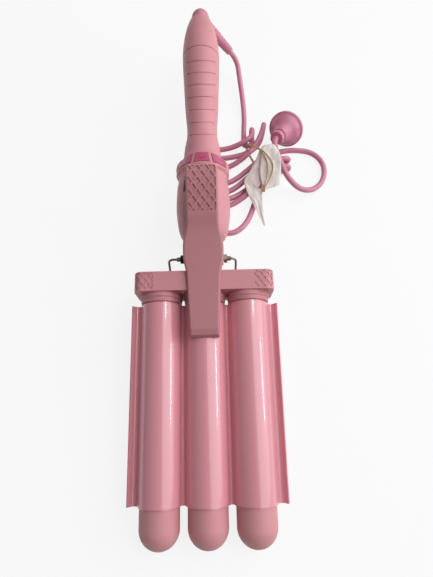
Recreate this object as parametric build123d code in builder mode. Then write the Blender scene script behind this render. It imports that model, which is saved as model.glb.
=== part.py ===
from build123d import *
from math import asin, atan2, ceil, cos, degrees, hypot, pi, radians, sin, sqrt, tan
import os

os.makedirs("parts", exist_ok=True)

# A three-barrel hair waver that stands on its wire stand and its three cool tips.
# All sizes are in millimetres. The tool frame has x across the barrels, y along them from
# the head's front face towards the handle, and z up out of the face with the lever.

# Barrels, cool tips and heaters
barrel_r = 16.0
barrel_wall = 1.2
barrel_pitch = 38.0
barrel_reach = 170.5
tip_straight = 15.0
tip_wall = 2.2
tip_spigot = 8.0
spreader_from_head = 40.5
spreader_wall = 1.2
spreader_from_tip = 30.0
heater_width = 11.6
heater_thickness = 4.6
heater_inset = 5.0
fit_gap = 0.1
slip_gap = 0.3

# Head that carries the barrels
head_width = 120.0
head_height = 40.0
head_length = 17.5
head_corner = 7.0
head_edge = 1.6
head_wall = 2.4
head_front_thickness = 2.6
collar_r = 18.8
collar_front_r = 17.7
collar_length = 8.0
collar_step = 4.6
carrier_thickness = 2.5
carrier_back = 4.0
carrier_width = 106.0
carrier_height = 30.0
carrier_spigot_wall = 2.0
carrier_spigot = 9.0
head_screw_z = 13.5
head_boss_r = 3.4
head_boss_length = 5.0
fuse_r = 2.2
fuse_length = 12.0
fuse_edge = 1.5

# Quilted diamonds of the head's ends and of the lever's pad
diamond_x = 7.6
diamond_y = 10.8
rib_width = 1.5
quilt_x = 5.6
quilt_y = 7.6
quilt_rib = 1.0
quilt_depth = 0.6
quilt_margin = 1.6
quilt_inner_x = 43.5
quilt_outer_x = 58.4
pad_pocket_depth = 0.9

# Clamp plate over the barrels
plate_thickness = 1.0
plate_gap = 0.5
plate_rear = 9.5
plate_tip_gap = 1.0
valley_lift = 4.0
lip_valley_r = 3.5
lip_end_angle = 215.0
lip_length = 3.5

# Hinge of lever and stand
hinge_y = 31.8
hinge_z = 7.0
pin_r = 2.0
run_gap = 0.05
pin_half_length = 24.0
nut_width = 7.0
nut_thickness = 3.0
washer_r = 4.6
spacer_gap = 0.25
ear_thickness = 2.0

# Lever
lever_front = -40.5
lever_rear = 105.0
lever_skin = 2.4
lever_side = 2.0
lever_ear_half_width = 17.5
lever_pad_half_width = 14.0
lever_pad_start = 64.0
lever_pad_start_z = 34.5
lever_pad_end_z = 46.0
lever_pad_corner = 4.0
lever_front_corner = 2.0
lever_rim_r = 2.0
lever_ear_r = 6.0
lever_skirt = 5.2
lever_cavity_start = 22.0
pad_field = 12.0
pad_margin = 2.0
lever_screw_r = 1.5
lever_screw_head_r = 2.4
lever_screw_head = 0.9
lever_screw_length = 5.0
lever_screw_ys = (-17.5, -32.0)
lever_open_angle = 11.5

# Wire stand
wire_r = 1.05
stand_fold_angle = 66.0
stand_half_width = 30.0
stand_shift = -1.5
stand_leg = 46.36
stand_corner = 4.0
stand_insert = 8.0
stand_foot_r = 2.2
stand_foot_length = 14.0
stand_foot_inset = 9.0

# Chassis between the head and the handle
chassis_width = 27.0
chassis_height = 25.0
chassis_wall = 2.2
chassis_flange = 2.0
chassis_flange_lip = 2.4
chassis_rear_lip = 1.2
chassis_corner = 6.0
chassis_end = 58.0
chassis_window_half = 7.5
chassis_window_length = 24.0
chassis_window_shift = 3.0
spring_wire_r = 0.7
spring_coil_r = 3.6
spring_turns = 4
spring_pitch = 1.9
spring_arm = 15.0
spring_roof_z = 28.2

# Handle shells, as radius over distance along the tool
nose_y = 51.5
nose_r = 17.0
nose_inner_r = 17.2
body_stations = ((55.0, 20.4), (64.0, 23.2), (77.0, 24.8), (92.0, 25.0), (105.0, 24.2))
waist_y = 114.3
waist_r = 22.9
shoulder_y = 117.6
shoulder_r = 25.2
band_front_y = 119.6
band_front_r = 24.5
band_rear_y = 132.8
band_rear_r = 19.7
lobe_r = 12.0
lobe_x = 13.6
lobe_y = 124.6
grip_stations = ((146.3, 17.3), (158.7, 15.2), (167.0, 14.75), (182.0, 15.75), (205.4, 17.1), (229.8, 18.2))
seam_y = 255.0
seam_r = 19.0
shell_wall = 2.2
groove_top_ys = (153.1, 166.8, 181.0, 195.4, 209.6, 223.6, 237.4)
groove_lean = 30.0
groove_width = 0.9
groove_depth = 0.5
groove_half_angle = 52.0
shell_boss_r = 3.2
shell_screw_r = 1.2
shell_screw_head_r = 2.4
shell_screw_head = 1.6
shell_screw_ys = (150.0, 238.0)
screw_grip = 6.0
cap_screw_y = 251.0
cap_screw_sink = 1.2
body_screw_x = 15.0
body_screw_y = 80.0

# Ring of three buttons
band_half_angle = 70.0
bezel_thickness = 2.4
button_half_angle = 17.5
side_button_centre = 45.5
side_button_half_angle = 21.0
button_inset_y = 0.6
button_gap = 0.35
button_proud = 0.5
button_thickness = 2.2
button_travel = 0.6
bezel_web_angle = 21.0
button_board_r = 15.2
button_stem_r = 1.5
button_stem = 1.6
switch_size = 4.0
switch_height = 2.4
switch_gap = 0.65
board_thickness = 1.2
mark_depth = 0.25

# Display window and its board
display_angle = -40.0
display_half_angle = 4.8
display_front = 92.5
display_length = 17.0
display_board_r = 20.4
display_board_thickness = 1.2

# Main board
pcb_width = 22.0
pcb_length = 50.0
pcb_thickness = 1.6
pcb_front = 61.0
pcb_level = -8.0
pcb_post_x = 8.0
pcb_post_r = 2.0
pcb_post_length = 11.2
lead_r = 0.9
lead_spacing = 2.4
lead_clear_x = 6.5

# End cap, swivel ball and strain relief
cap_stations = ((264.5, 18.8), (276.4, 17.7), (288.8, 15.6), (297.0, 13.5))
cap_end_y = 304.5
cap_end_r = 11.1
cap_wall = 2.2
cap_spigot = 8.0
cap_floor_y = 294.0
ball_y = 309.5
ball_r = 9.3
ball_gap = 0.35
shaft_r = 4.0
shaft_gap = 0.06
shaft_bore_r = 2.3
shaft_end_y = 281.0
bush_length = 4.0
clip_r = 6.6
clip_thickness = 1.6
clip_bite = 0.6
cap_overlap = 2.5
relief_offset = 3.5
relief_length = 49.6
relief_root_r = 5.8
relief_end_r = 4.3
relief_ribs = 11
relief_rib_start = 17.0
relief_rib_depth = 0.7
relief_side = 41.9
relief_back = 11.0

# Free cord and plug
cord_r = 2.9
plug_tilt = 24.0
plug_heading = 58.6
plug_x = 91.6
plug_y = 142.4
plug_rim_r = 19.0
plug_rim_edge = 3.0
plug_length = 30.0
plug_neck_r = 6.3
plug_pin_r = 2.4
plug_pin_length = 19.0
plug_pin_spacing = 19.0
band_r = 0.6
band_bend_r = 2.5
tag_thickness = 0.4
tag_left = 54.0
tag_width = 25.0
tag_taper = 13.0
tag_taper_length = 16.0

# Standing pose: the table touches the tips and the stand's feet
tip_r = barrel_r
tip_centre_y = -barrel_reach - tip_straight
edge_back = hinge_y - head_length
edge_drop = hinge_z + head_height / 2
stand_lean = degrees(atan2(edge_back, edge_drop) - asin((wire_r + slip_gap) / hypot(edge_back, edge_drop)))
foot_y = hinge_y - stand_leg * sin(radians(stand_lean))
foot_z = hinge_z - stand_leg * cos(radians(stand_lean))
foot_span = hypot(foot_y - tip_centre_y, foot_z)
tilt = atan2(-foot_z, foot_y - tip_centre_y) - asin((tip_r - stand_foot_r) / foot_span)
tool_height = tip_r - tip_centre_y * sin(tilt)
tool_shift = (tip_r - ball_r - (tip_centre_y + ball_y) * cos(tilt)) / 2
along = Vector(0, cos(tilt), sin(tilt))
upward = Vector(0, -sin(tilt), cos(tilt))
sideways = Vector(1, 0, 0)


def place(x, y, z):
    """A point of the tool frame, where it stands on the table."""
    return Vector(0, tool_shift, tool_height) + sideways * x + along * y + upward * z


def across(y):
    """Section plane across the tool: x to the right, y up, extruding towards the tips."""
    return Plane(place(0, y, 0), x_dir=sideways, z_dir=-along)


def side(x):
    """Side plane: its x runs along the tool and its y upwards."""
    return Plane(place(x, 0, 0), x_dir=along, z_dir=sideways)


def level(z):
    """Plan plane: its x runs to the right and its y along the tool."""
    return Plane(place(0, 0, z), x_dir=sideways, z_dir=upward)


def radial(angle):
    """Plane through the tool axis: its x runs along the axis and its y outwards at an angle from the top."""
    out = sideways * sin(radians(angle)) + upward * cos(radians(angle))
    return Plane(place(0, 0, 0), x_dir=along, z_dir=along.cross(out))


def facing(angle, y, r):
    """Plane that looks outwards at an angle from the top, at a radius from the tool axis."""
    out = sideways * sin(radians(angle)) + upward * cos(radians(angle))
    return Plane(place(0, y, 0) + out * r, x_dir=along.cross(out), z_dir=out)


tool_axis = Axis(place(0, 0, 0), along)
barrel_xs = {"left": -barrel_pitch, "middle": 0.0, "right": barrel_pitch}

# Barrels: drawn aluminium tubes, glazed, seated on the carrier inside the head
for name, x in barrel_xs.items():
    with BuildPart() as barrel:
        with BuildSketch(across(carrier_back)):
            with Locations((x, 0)):
                Circle(barrel_r)
                Circle(barrel_r - barrel_wall, mode=Mode.SUBTRACT)
        extrude(amount=carrier_back + barrel_reach)
    barrel.part.label = f"barrel_{name}"
    export_step(barrel.part, f"parts/barrel_{name}.step")

# Cool tips: hollow moulded caps with a domed end and a spigot inside the barrel
tip_bore_r = barrel_r - barrel_wall - fit_gap
tip_inner_r = tip_bore_r - tip_wall
for name, x in barrel_xs.items():
    with BuildPart() as cool_tip:
        with BuildSketch(side(x)):
            with BuildLine():
                Line((-barrel_reach + tip_spigot, 0), (-barrel_reach + tip_spigot, tip_bore_r))
                Line((-barrel_reach + tip_spigot, tip_bore_r), (-barrel_reach, tip_bore_r))
                Line((-barrel_reach, tip_bore_r), (-barrel_reach, tip_r))
                Line((-barrel_reach, tip_r), (tip_centre_y, tip_r))
                CenterArc((tip_centre_y, 0), tip_r, 90, 90)
                Line((tip_centre_y - tip_r, 0), (-barrel_reach + tip_spigot, 0))
            make_face()
        revolve(axis=Axis(place(x, 0, 0), along))
        with BuildSketch(side(x)):
            with BuildLine():
                Line((-barrel_reach + tip_spigot, 0), (-barrel_reach + tip_spigot, tip_inner_r))
                Line((-barrel_reach + tip_spigot, tip_inner_r), (tip_centre_y, tip_inner_r))
                CenterArc((tip_centre_y, 0), tip_inner_r, 90, 90)
                Line((tip_centre_y - tip_inner_r, 0), (-barrel_reach + tip_spigot, 0))
            make_face()
        revolve(axis=Axis(place(x, 0, 0), along), mode=Mode.SUBTRACT)
    cool_tip.part.label = f"cool_tip_{name}"
    export_step(cool_tip.part, f"parts/cool_tip_{name}.step")

# Heat spreaders: two hollow half rounds that press the heater bar between them
spreader_length = barrel_reach - spreader_from_tip - spreader_from_head
spreader_r = barrel_r - barrel_wall - fit_gap
spreader_slot = heater_thickness + 2 * fit_gap
spreader_rear = -barrel_reach + spreader_from_tip + spreader_length
for name, x in barrel_xs.items():
    with BuildPart() as spreader:
        with BuildSketch(across(spreader_rear)):
            with Locations((x, 0)):
                Circle(spreader_r)
                Circle(spreader_r - spreader_wall, mode=Mode.SUBTRACT)
            with Locations((x, 0)):
                Rectangle(2 * spreader_r - 2 * spreader_wall, spreader_slot + 2 * spreader_wall)
                Rectangle(2 * spreader_r + 2, spreader_slot, mode=Mode.SUBTRACT)
        extrude(amount=spreader_length)
    spreader.part.label = f"heat_spreader_{name}"
    export_step(spreader.part, f"parts/heat_spreader_{name}.step")

# Ceramic heater bars
heater_length = spreader_length - 2 * heater_inset
heater_rear = spreader_rear - heater_inset
for name, x in barrel_xs.items():
    with BuildPart() as heater:
        with BuildSketch(across(heater_rear)):
            with Locations((x, 0)):
                Rectangle(heater_width, heater_thickness)
        extrude(amount=heater_length)
    heater.part.label = f"ptc_heater_{name}"
    export_step(heater.part, f"parts/ptc_heater_{name}.step")

# Heat-resistant collars where the barrels leave the head
for name, x in barrel_xs.items():
    with BuildPart() as collar:
        with BuildSketch(side(x)):
            with BuildLine():
                Polyline(
                    (0, barrel_r + fit_gap),
                    (0, collar_r),
                    (-collar_step + 0.8, collar_r),
                    (-collar_step, collar_r - 0.8),
                    (-collar_step, collar_front_r + 0.4),
                    (-collar_length, collar_front_r),
                    (-collar_length, barrel_r + fit_gap),
                    close=True,
                )
            make_face()
        revolve(axis=Axis(place(x, 0, 0), along))
    collar.part.label = f"heat_collar_{name}"
    export_step(collar.part, f"parts/heat_collar_{name}.step")


def quilt_centres(x_low, x_high, y_low, y_high, pitch_x, pitch_y):
    """Centres of the diamonds whose pockets lie in a field, in staggered rows."""
    columns = int(ceil((x_high - x_low) / pitch_x)) + 1
    rows = int(ceil((y_high - y_low) / pitch_y)) + 1
    middle_x = (x_low + x_high) / 2
    middle_y = (y_low + y_high) / 2
    centres = []
    for column in range(-columns, columns + 1):
        for row in range(-rows, rows + 1):
            if (column + row) % 2 == 0:
                centres.append((middle_x + column * pitch_x / 2, middle_y + row * pitch_y / 2))
    inside = [c for c in centres if x_low - pitch_x / 2 < c[0] < x_high + pitch_x / 2]
    return [c for c in inside if y_low - pitch_y / 2 < c[1] < y_high + pitch_y / 2]


def diamond(rib, pitch_x, pitch_y):
    """One diamond pocket between two pairs of crossing ribs."""
    shrink = rib / 2 * hypot(pitch_x, pitch_y)
    half_x = pitch_x / 2 - shrink / pitch_y
    half_y = pitch_y / 2 - shrink / pitch_x
    Polygon((half_x, 0), (0, half_y), (-half_x, 0), (0, -half_y))


# Head housing: a tub that is open towards the barrels, with quilted ends
head_inner_width = head_width - 2 * head_wall
head_inner_height = head_height - 2 * head_wall
screw_spots = [(sx * barrel_pitch / 2, sz * head_screw_z) for sx in (-1, 1) for sz in (-1, 1)]
quilt_low = head_edge
quilt_high = head_length - head_edge
with BuildPart() as head_quilts:
    for half in (-1, 1):
        field = sorted((half * quilt_inner_x, half * quilt_outer_x))
        with BuildSketch(level(head_height / 2)):
            with Locations(*quilt_centres(field[0], field[1], quilt_low, quilt_high, quilt_x, quilt_y)):
                diamond(quilt_rib, quilt_x, quilt_y)
            with Locations(((field[0] + field[1]) / 2, head_length / 2)):
                Rectangle(field[1] - field[0], head_length - 2 * quilt_margin, mode=Mode.INTERSECT)
        extrude(amount=-head_height)
    with BuildSketch(across(head_length)):
        RectangleRounded(
            head_width - 2 * quilt_depth, head_height - 2 * quilt_depth, head_corner - quilt_depth
        )
    extrude(amount=head_length, mode=Mode.SUBTRACT)

with BuildPart() as head_housing:
    with BuildSketch(across(head_length)):
        RectangleRounded(head_width, head_height, head_corner)
    extrude(amount=head_length)
    fillet(head_housing.faces().sort_by(tool_axis)[-1].edges(), head_edge)
    with BuildSketch(across(head_length - head_wall)):
        RectangleRounded(head_inner_width, head_inner_height, head_corner - head_wall)
    extrude(amount=head_length, mode=Mode.SUBTRACT)
    with BuildSketch(across(head_length - head_wall)):
        with Locations(*screw_spots):
            Circle(head_boss_r)
    extrude(amount=head_length - head_wall - head_front_thickness - head_boss_length - slip_gap)
    with BuildSketch(across(head_length)):
        RectangleRounded(chassis_width + 2 * fit_gap, chassis_height + 2 * fit_gap, chassis_corner)
        with Locations(*screw_spots):
            Circle(shell_screw_r + fit_gap)
    extrude(amount=head_length, mode=Mode.SUBTRACT)
    with BuildSketch(across(head_length)):
        with Locations(*screw_spots):
            Circle(shell_screw_head_r + fit_gap)
    extrude(amount=shell_screw_head, mode=Mode.SUBTRACT)
    add(head_quilts.part, mode=Mode.SUBTRACT)
head_housing.part.label = "head_housing"
export_step(head_housing.part, "parts/head_housing.step")

# Head front plate with the three barrel holes and the screw bosses
with BuildPart() as head_front:
    with BuildSketch(across(head_front_thickness)):
        RectangleRounded(
            head_inner_width - 2 * fit_gap, head_inner_height - 2 * fit_gap, head_corner - head_wall - fit_gap
        )
    extrude(amount=head_front_thickness)
    with BuildSketch(across(head_front_thickness + head_boss_length)):
        with Locations(*screw_spots):
            Circle(head_boss_r)
    extrude(amount=head_boss_length)
    with BuildSketch(across(head_front_thickness + head_boss_length)):
        with Locations(*screw_spots):
            Circle(shell_screw_r)
    extrude(amount=head_boss_length + head_front_thickness / 2, mode=Mode.SUBTRACT)
    with BuildSketch(across(head_front_thickness)):
        with Locations(*[(x, 0) for x in barrel_xs.values()]):
            Circle(barrel_r + fit_gap)
    extrude(amount=head_front_thickness, mode=Mode.SUBTRACT)
head_front.part.label = "head_front_plate"
export_step(head_front.part, "parts/head_front_plate.step")

# Barrel carrier: a steel plate with three spigots inside the barrels
carrier_rear = carrier_back + carrier_thickness
carrier_spigot_r = barrel_r - barrel_wall - fit_gap
with BuildPart() as carrier:
    with BuildSketch(across(carrier_rear)):
        RectangleRounded(carrier_width, carrier_height, head_corner - head_wall)
    extrude(amount=carrier_thickness)
    with BuildSketch(across(carrier_back)):
        with Locations(*[(x, 0) for x in barrel_xs.values()]):
            Circle(carrier_spigot_r)
    extrude(amount=carrier_spigot)
    with BuildSketch(across(carrier_rear)):
        with Locations(*[(x, 0) for x in barrel_xs.values()]):
            Circle(carrier_spigot_r - carrier_spigot_wall)
        with Locations(*screw_spots):
            Circle(head_boss_r + fit_gap)
    extrude(amount=carrier_thickness + carrier_spigot, mode=Mode.SUBTRACT)
carrier.part.label = "barrel_carrier"
export_step(carrier.part, "parts/barrel_carrier.step")

# Four screws from the back of the head into the front plate
with BuildPart() as head_screws:
    with BuildSketch(across(head_length)):
        with Locations(*screw_spots):
            Circle(shell_screw_head_r)
    extrude(amount=shell_screw_head)
    with BuildSketch(across(head_length)):
        with Locations(*screw_spots):
            Circle(shell_screw_r)
    extrude(amount=head_length - head_front_thickness)
head_screws.part.label = "head_screws"
export_step(head_screws.part, "parts/head_screws.step")

# Thermal fuse behind the carrier's web, below the middle barrel
fuse_y = carrier_rear + slip_gap + fuse_r
with BuildPart() as thermal_fuse:
    with BuildSketch(Plane(place(-fuse_length / 2, fuse_y, fuse_edge - carrier_height / 2), z_dir=sideways)):
        Circle(fuse_r)
    extrude(amount=fuse_length)
thermal_fuse.part.label = "thermal_fuse"
export_step(thermal_fuse.part, "parts/thermal_fuse.step")

# Clamp plate: one sheet pressed into three crowns, two valleys and two raised lips
crown_r = barrel_r + plate_gap + plate_thickness / 2
valley_r = hypot(barrel_pitch / 2, valley_lift) - crown_r
valley_angle = degrees(atan2(valley_lift, barrel_pitch / 2))
lip_x = barrel_pitch + sqrt((crown_r + lip_valley_r) ** 2 - valley_lift**2)
lip_angle = degrees(asin(valley_lift / (crown_r + lip_valley_r)))


def sheet_line(grow):
    """The sheet's line from its left lip to its right one, moved out by a distance."""
    def around(centre, radius, start, end):
        angles = [start, (start + end) / 2, end]
        return [(centre[0] + radius * cos(radians(a)), centre[1] + radius * sin(radians(a))) for a in angles]

    arcs = []
    outer = around((-lip_x, valley_lift), lip_valley_r - grow, lip_end_angle, 360 - lip_angle)
    arcs.append(outer)
    for index, x in enumerate((-barrel_pitch, 0.0, barrel_pitch)):
        left = lip_angle if index == 0 else valley_angle
        right = lip_angle if index == 2 else valley_angle
        arcs.append(around((x, 0), crown_r + grow, 180 - left, right))
        if index < 2:
            valley = (x + barrel_pitch / 2, valley_lift)
            arcs.append(around(valley, valley_r - grow, 180 + valley_angle, 360 - valley_angle))
    arcs.append([(-px, pz) for px, pz in reversed(outer)])
    return arcs


def lip_tip(point, direction_sign):
    """The free edge of a lip, straight on from its valley."""
    turn = radians(lip_end_angle)
    return (point[0] + direction_sign * lip_length * sin(turn), point[1] - lip_length * cos(turn))


def countersunk(y, grow):
    """Half outline of a countersunk screw that goes up through the middle crown."""
    base = barrel_r + plate_gap - grow
    neck = barrel_r + plate_gap + lever_screw_head
    top = barrel_r + plate_gap + lever_screw_length + grow
    head = lever_screw_head_r + grow
    shank = lever_screw_r + grow
    return ((y, base), (y + head, base), (y + shank, neck), (y + shank, top), (y, top))


with BuildPart() as clamp_plate:
    with BuildSketch(across(-plate_rear)):
        upper = sheet_line(plate_thickness / 2)
        lower = sheet_line(-plate_thickness / 2)
        with BuildLine():
            for arc in upper + lower:
                ThreePointArc(*arc)
            for line in (upper, lower):
                Line(line[0][0], lip_tip(line[0][0], 1))
                Line(line[-1][2], lip_tip(line[-1][2], -1))
            Line(lip_tip(upper[0][0], 1), lip_tip(lower[0][0], 1))
            Line(lip_tip(upper[-1][2], -1), lip_tip(lower[-1][2], -1))
        make_face()
    extrude(amount=barrel_reach - plate_tip_gap - plate_rear)
    for y in lever_screw_ys:
        with BuildSketch(side(0)):
            with BuildLine():
                Polyline(*countersunk(y, fit_gap), close=True)
            make_face()
        revolve(axis=Axis(place(0, y, 0), upward), mode=Mode.SUBTRACT)
clamp_plate.part.label = "clamp_plate"
export_step(clamp_plate.part, "parts/clamp_plate.step")

# Two countersunk screws from the crown up into the lever
with BuildPart() as lever_screws:
    for y in lever_screw_ys:
        with BuildSketch(side(0)):
            with BuildLine():
                Polyline(*countersunk(y, 0), close=True)
            make_face()
        revolve(axis=Axis(place(0, y, 0), upward))
lever_screws.part.label = "lever_screws"
export_step(lever_screws.part, "parts/lever_screws.step")

# Lever: block on the middle crown, bar over the head, two ears on the hinge pin, thumb pad
hinge_point = (hinge_y, hinge_z)
ear_bottom = (hinge_y, hinge_z - lever_ear_r)
lever_over_head = head_height / 2 + 1.0
lever_block_rear = -9.0
lever_nose = ((lever_front, 18.6), (lever_front + 1.6, 21.8), (lever_front + 6.5, 23.3))
lever_bar = ((18.0, 24.2), (42.0, 27.2), (56.0, 31.0))
lever_plan = (
    (12.3, lever_front),
    (13.7, -10.0),
    (14.4, 7.0),
    (15.2, 16.0),
    (17.2, 26.0),
    (lever_ear_half_width, 34.0),
    (17.2, 41.0),
    (15.2, 50.0),
    (lever_pad_half_width, 60.0),
)
pad_slope = degrees(atan2(lever_pad_end_z - lever_pad_start_z, lever_rear - lever_pad_start))
pad_run = hypot(lever_pad_end_z - lever_pad_start_z, lever_rear - lever_pad_start)
pad_plane = Plane(
    place(0, lever_pad_start, lever_pad_start_z),
    x_dir=sideways,
    z_dir=upward * cos(radians(pad_slope)) - along * sin(radians(pad_slope)),
)


def plan_outline(inset, rear):
    """Plan outline of the lever, drawn in by an inset."""
    right = [(x - inset, y) for x, y in lever_plan]
    left = [(-x, y) for x, y in right]
    corner = lever_pad_half_width - inset
    Spline(*right, tangents=((0.03, 1.0), (0.0, 1.0)))
    Polyline(right[-1], (corner, rear), (-corner, rear), left[-1])
    Spline(*left, tangents=((-0.03, 1.0), (0.0, 1.0)))
    Line(left[0], right[0])


def is_rim(edge):
    """Whether an edge belongs to the rim of the lever's top."""
    middle = (edge @ 0.5) - place(0, 0, 0)
    y = middle.dot(along)
    top_line = 21.4 + max(0.0, y - 18.0) * 0.27
    crossing = abs(((edge @ 1) - (edge @ 0)).dot(along)) < 0.01 and y < lever_rear - 5
    return middle.dot(upward) > top_line and y > lever_front + 1.7 and not crossing


cavity_end_z = lever_pad_end_z - lever_skin - lever_side * tan(radians(pad_slope))
with BuildPart() as lever_cavity:
    with BuildSketch(side(-lever_ear_half_width)):
        with BuildLine():
            Polyline(
                (lever_cavity_start, hinge_z - lever_ear_r - 1),
                (lever_cavity_start, 24.5 - lever_skin),
                (42.0, 27.2 - lever_skin),
                (56.0, 31.0 - lever_skin),
                (lever_pad_start, lever_pad_start_z - lever_skin),
                (lever_rear - lever_side, cavity_end_z),
                (lever_rear - lever_side, hinge_z - lever_ear_r - 1),
                close=True,
            )
        make_face()
    extrude(amount=2 * lever_ear_half_width)
    with BuildSketch(level(-10)):
        with BuildLine():
            plan_outline(lever_side, lever_rear - lever_side)
        make_face()
    extrude(amount=70, mode=Mode.INTERSECT)

with BuildPart() as lever:
    with BuildSketch(side(-lever_ear_half_width - 1)):
        with BuildLine():
            Polyline(
                (lever_block_rear, lever_over_head),
                (lever_block_rear, 13.2),
                (lever_front, 13.2),
                *lever_nose,
            )
            Spline(
                lever_nose[-1],
                *lever_bar,
                (lever_pad_start, lever_pad_start_z),
                tangents=((1.0, 0.0), (cos(radians(pad_slope)), sin(radians(pad_slope)))),
            )
            Polyline(
                (lever_pad_start, lever_pad_start_z),
                (lever_rear, lever_pad_end_z),
                (lever_rear, lever_pad_end_z - lever_skirt),
                (lever_pad_start + 2, lever_pad_start_z - lever_skirt),
                (55.0, 24.2),
                (45.0, 13.5),
                (hinge_y + lever_ear_r, hinge_z),
            )
            ThreePointArc((hinge_y + lever_ear_r, hinge_z), ear_bottom, (hinge_y - lever_ear_r, hinge_z))
            Polyline(
                (hinge_y - lever_ear_r, hinge_z),
                (hinge_y - lever_ear_r, 13.0),
                (22.5, lever_over_head),
                (lever_block_rear, lever_over_head),
            )
        make_face()
    extrude(amount=2 * lever_ear_half_width + 2)
    with BuildSketch(level(-10)) as lever_plan_face:
        with BuildLine():
            plan_outline(0, lever_rear)
        make_face()
        fillet(lever_plan_face.vertices().group_by(Axis.Y)[-1], lever_pad_corner)
        fillet(lever_plan_face.vertices().group_by(Axis.Y)[0], lever_front_corner)
    extrude(amount=70, mode=Mode.INTERSECT)
    with BuildSketch(across(lever_block_rear)):
        Circle(barrel_r + plate_gap + plate_thickness)
    extrude(amount=40, mode=Mode.SUBTRACT)
    fillet([edge for edge in lever.edges() if is_rim(edge)], lever_rim_r)
    add(lever_cavity.part, mode=Mode.SUBTRACT)
    add(lever_screws.part, mode=Mode.SUBTRACT)
    with BuildSketch(side(-lever_ear_half_width - 1)):
        with Locations(hinge_point):
            Circle(pin_r + run_gap)
    extrude(amount=2 * lever_ear_half_width + 2, mode=Mode.SUBTRACT)
    with BuildSketch(pad_plane):
        with Locations(
            *quilt_centres(-pad_field, pad_field, pad_margin, pad_run - pad_margin, diamond_x, diamond_y)
        ):
            diamond(rib_width, diamond_x, diamond_y)
        with Locations((0, pad_run / 2)):
            RectangleRounded(
                2 * pad_field, pad_run - 2 * pad_margin, lever_pad_corner / 2, mode=Mode.INTERSECT
            )
    extrude(amount=-pad_pocket_depth, mode=Mode.SUBTRACT)
lever.part.label = "lever"
export_step(lever.part, "parts/lever.step")

# Hinge pin: a steel tube with the stand's wire ends in its bore
pin_bore_r = wire_r + run_gap
with BuildPart() as hinge_pin:
    with BuildSketch(side(-pin_half_length)):
        with Locations(hinge_point):
            Circle(pin_r)
            Circle(pin_bore_r, mode=Mode.SUBTRACT)
    extrude(amount=2 * pin_half_length)
hinge_pin.part.label = "hinge_pin"
export_step(hinge_pin.part, "parts/hinge_pin.step")

# Hexagon nuts outside the lever's ears
nut_start = lever_ear_half_width + slip_gap
nut_starts = {"left": -nut_start - nut_thickness, "right": nut_start}
for name, start in nut_starts.items():
    with BuildPart() as hinge_nut:
        with BuildSketch(side(start)):
            with Locations(hinge_point):
                RegularPolygon(nut_width / 2, 6, major_radius=False)
                Circle(pin_r, mode=Mode.SUBTRACT)
        extrude(amount=nut_thickness)
    hinge_nut.part.label = f"hinge_nut_{name}"
    export_step(hinge_nut.part, f"parts/hinge_nut_{name}.step")

# Spacer bushes between the chassis and the ears
spacer_outer_x = lever_ear_half_width - ear_thickness - spacer_gap
with BuildPart() as hinge_spacers:
    for start in (-spacer_outer_x, chassis_width / 2):
        with BuildSketch(side(start)):
            with Locations(hinge_point):
                Circle(washer_r)
                Circle(pin_r, mode=Mode.SUBTRACT)
        extrude(amount=spacer_outer_x - chassis_width / 2)
hinge_spacers.part.label = "hinge_spacers"
export_step(hinge_spacers.part, "parts/hinge_spacers.step")

# Chassis: a drawn steel box section from the head into the handle, flanged at both ends
chassis_start = head_length - head_wall - chassis_flange
nose_wall_rear = nose_y + shell_wall
with BuildPart() as chassis:
    with BuildSketch(across(chassis_end)):
        RectangleRounded(chassis_width, chassis_height, chassis_corner)
    extrude(amount=chassis_end - chassis_start)
    with BuildSketch(across(head_length - head_wall)):
        RectangleRounded(
            chassis_width + 2 * chassis_flange_lip,
            chassis_height + 2 * chassis_flange_lip,
            chassis_corner + chassis_flange_lip,
        )
    extrude(amount=chassis_flange)
    with BuildSketch(across(nose_wall_rear + chassis_flange)):
        RectangleRounded(
            chassis_width + 2 * chassis_rear_lip,
            chassis_height + 2 * chassis_rear_lip,
            chassis_corner + chassis_rear_lip,
        )
    extrude(amount=chassis_flange)
    with BuildSketch(across(chassis_end)):
        RectangleRounded(
            chassis_width - 2 * chassis_wall, chassis_height - 2 * chassis_wall, chassis_corner - chassis_wall
        )
    extrude(amount=chassis_end - chassis_start, mode=Mode.SUBTRACT)
    with BuildSketch(level(chassis_height / 2 - chassis_wall - 1)):
        with Locations((0, hinge_y + chassis_window_shift)):
            RectangleRounded(2 * chassis_window_half, chassis_window_length, 2)
    extrude(amount=chassis_wall + 2, mode=Mode.SUBTRACT)
    with BuildSketch(side(-chassis_width / 2)):
        with Locations(hinge_point):
            Circle(pin_r)
    extrude(amount=chassis_width, mode=Mode.SUBTRACT)
chassis.part.label = "chassis"
export_step(chassis.part, "parts/chassis.step")

# Torsion spring round the pin: one leg under the lever, one on the chassis floor
spring_half = spring_turns * spring_pitch / 2
spring_floor = -chassis_height / 2 + chassis_wall + spring_wire_r
spring_roof = spring_roof_z - lever_skin - spring_wire_r
with BuildPart() as clamp_spring:
    with BuildLine():
        coil_start = place(-spring_half, hinge_y, hinge_z)
        coil = Helix(spring_pitch, 2 * spring_half, spring_coil_r, center=coil_start, direction=sideways)
    with BuildSketch(Plane(coil @ 0, z_dir=coil % 0)):
        Circle(spring_wire_r)
    sweep(path=coil, is_frenet=True)
    for end_x, start_z, end_z in (
        (-spring_half, hinge_z - spring_coil_r, spring_floor),
        (spring_half, hinge_z + spring_coil_r, spring_roof),
    ):
        start = place(end_x, hinge_y, start_z)
        end = place(end_x, hinge_y + spring_arm, end_z)
        with BuildSketch(Plane(start, z_dir=end - start)):
            Circle(spring_wire_r)
        extrude(amount=(end - start).length)
clamp_spring.part.label = "clamp_spring"
export_step(clamp_spring.part, "parts/clamp_spring.step")

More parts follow.
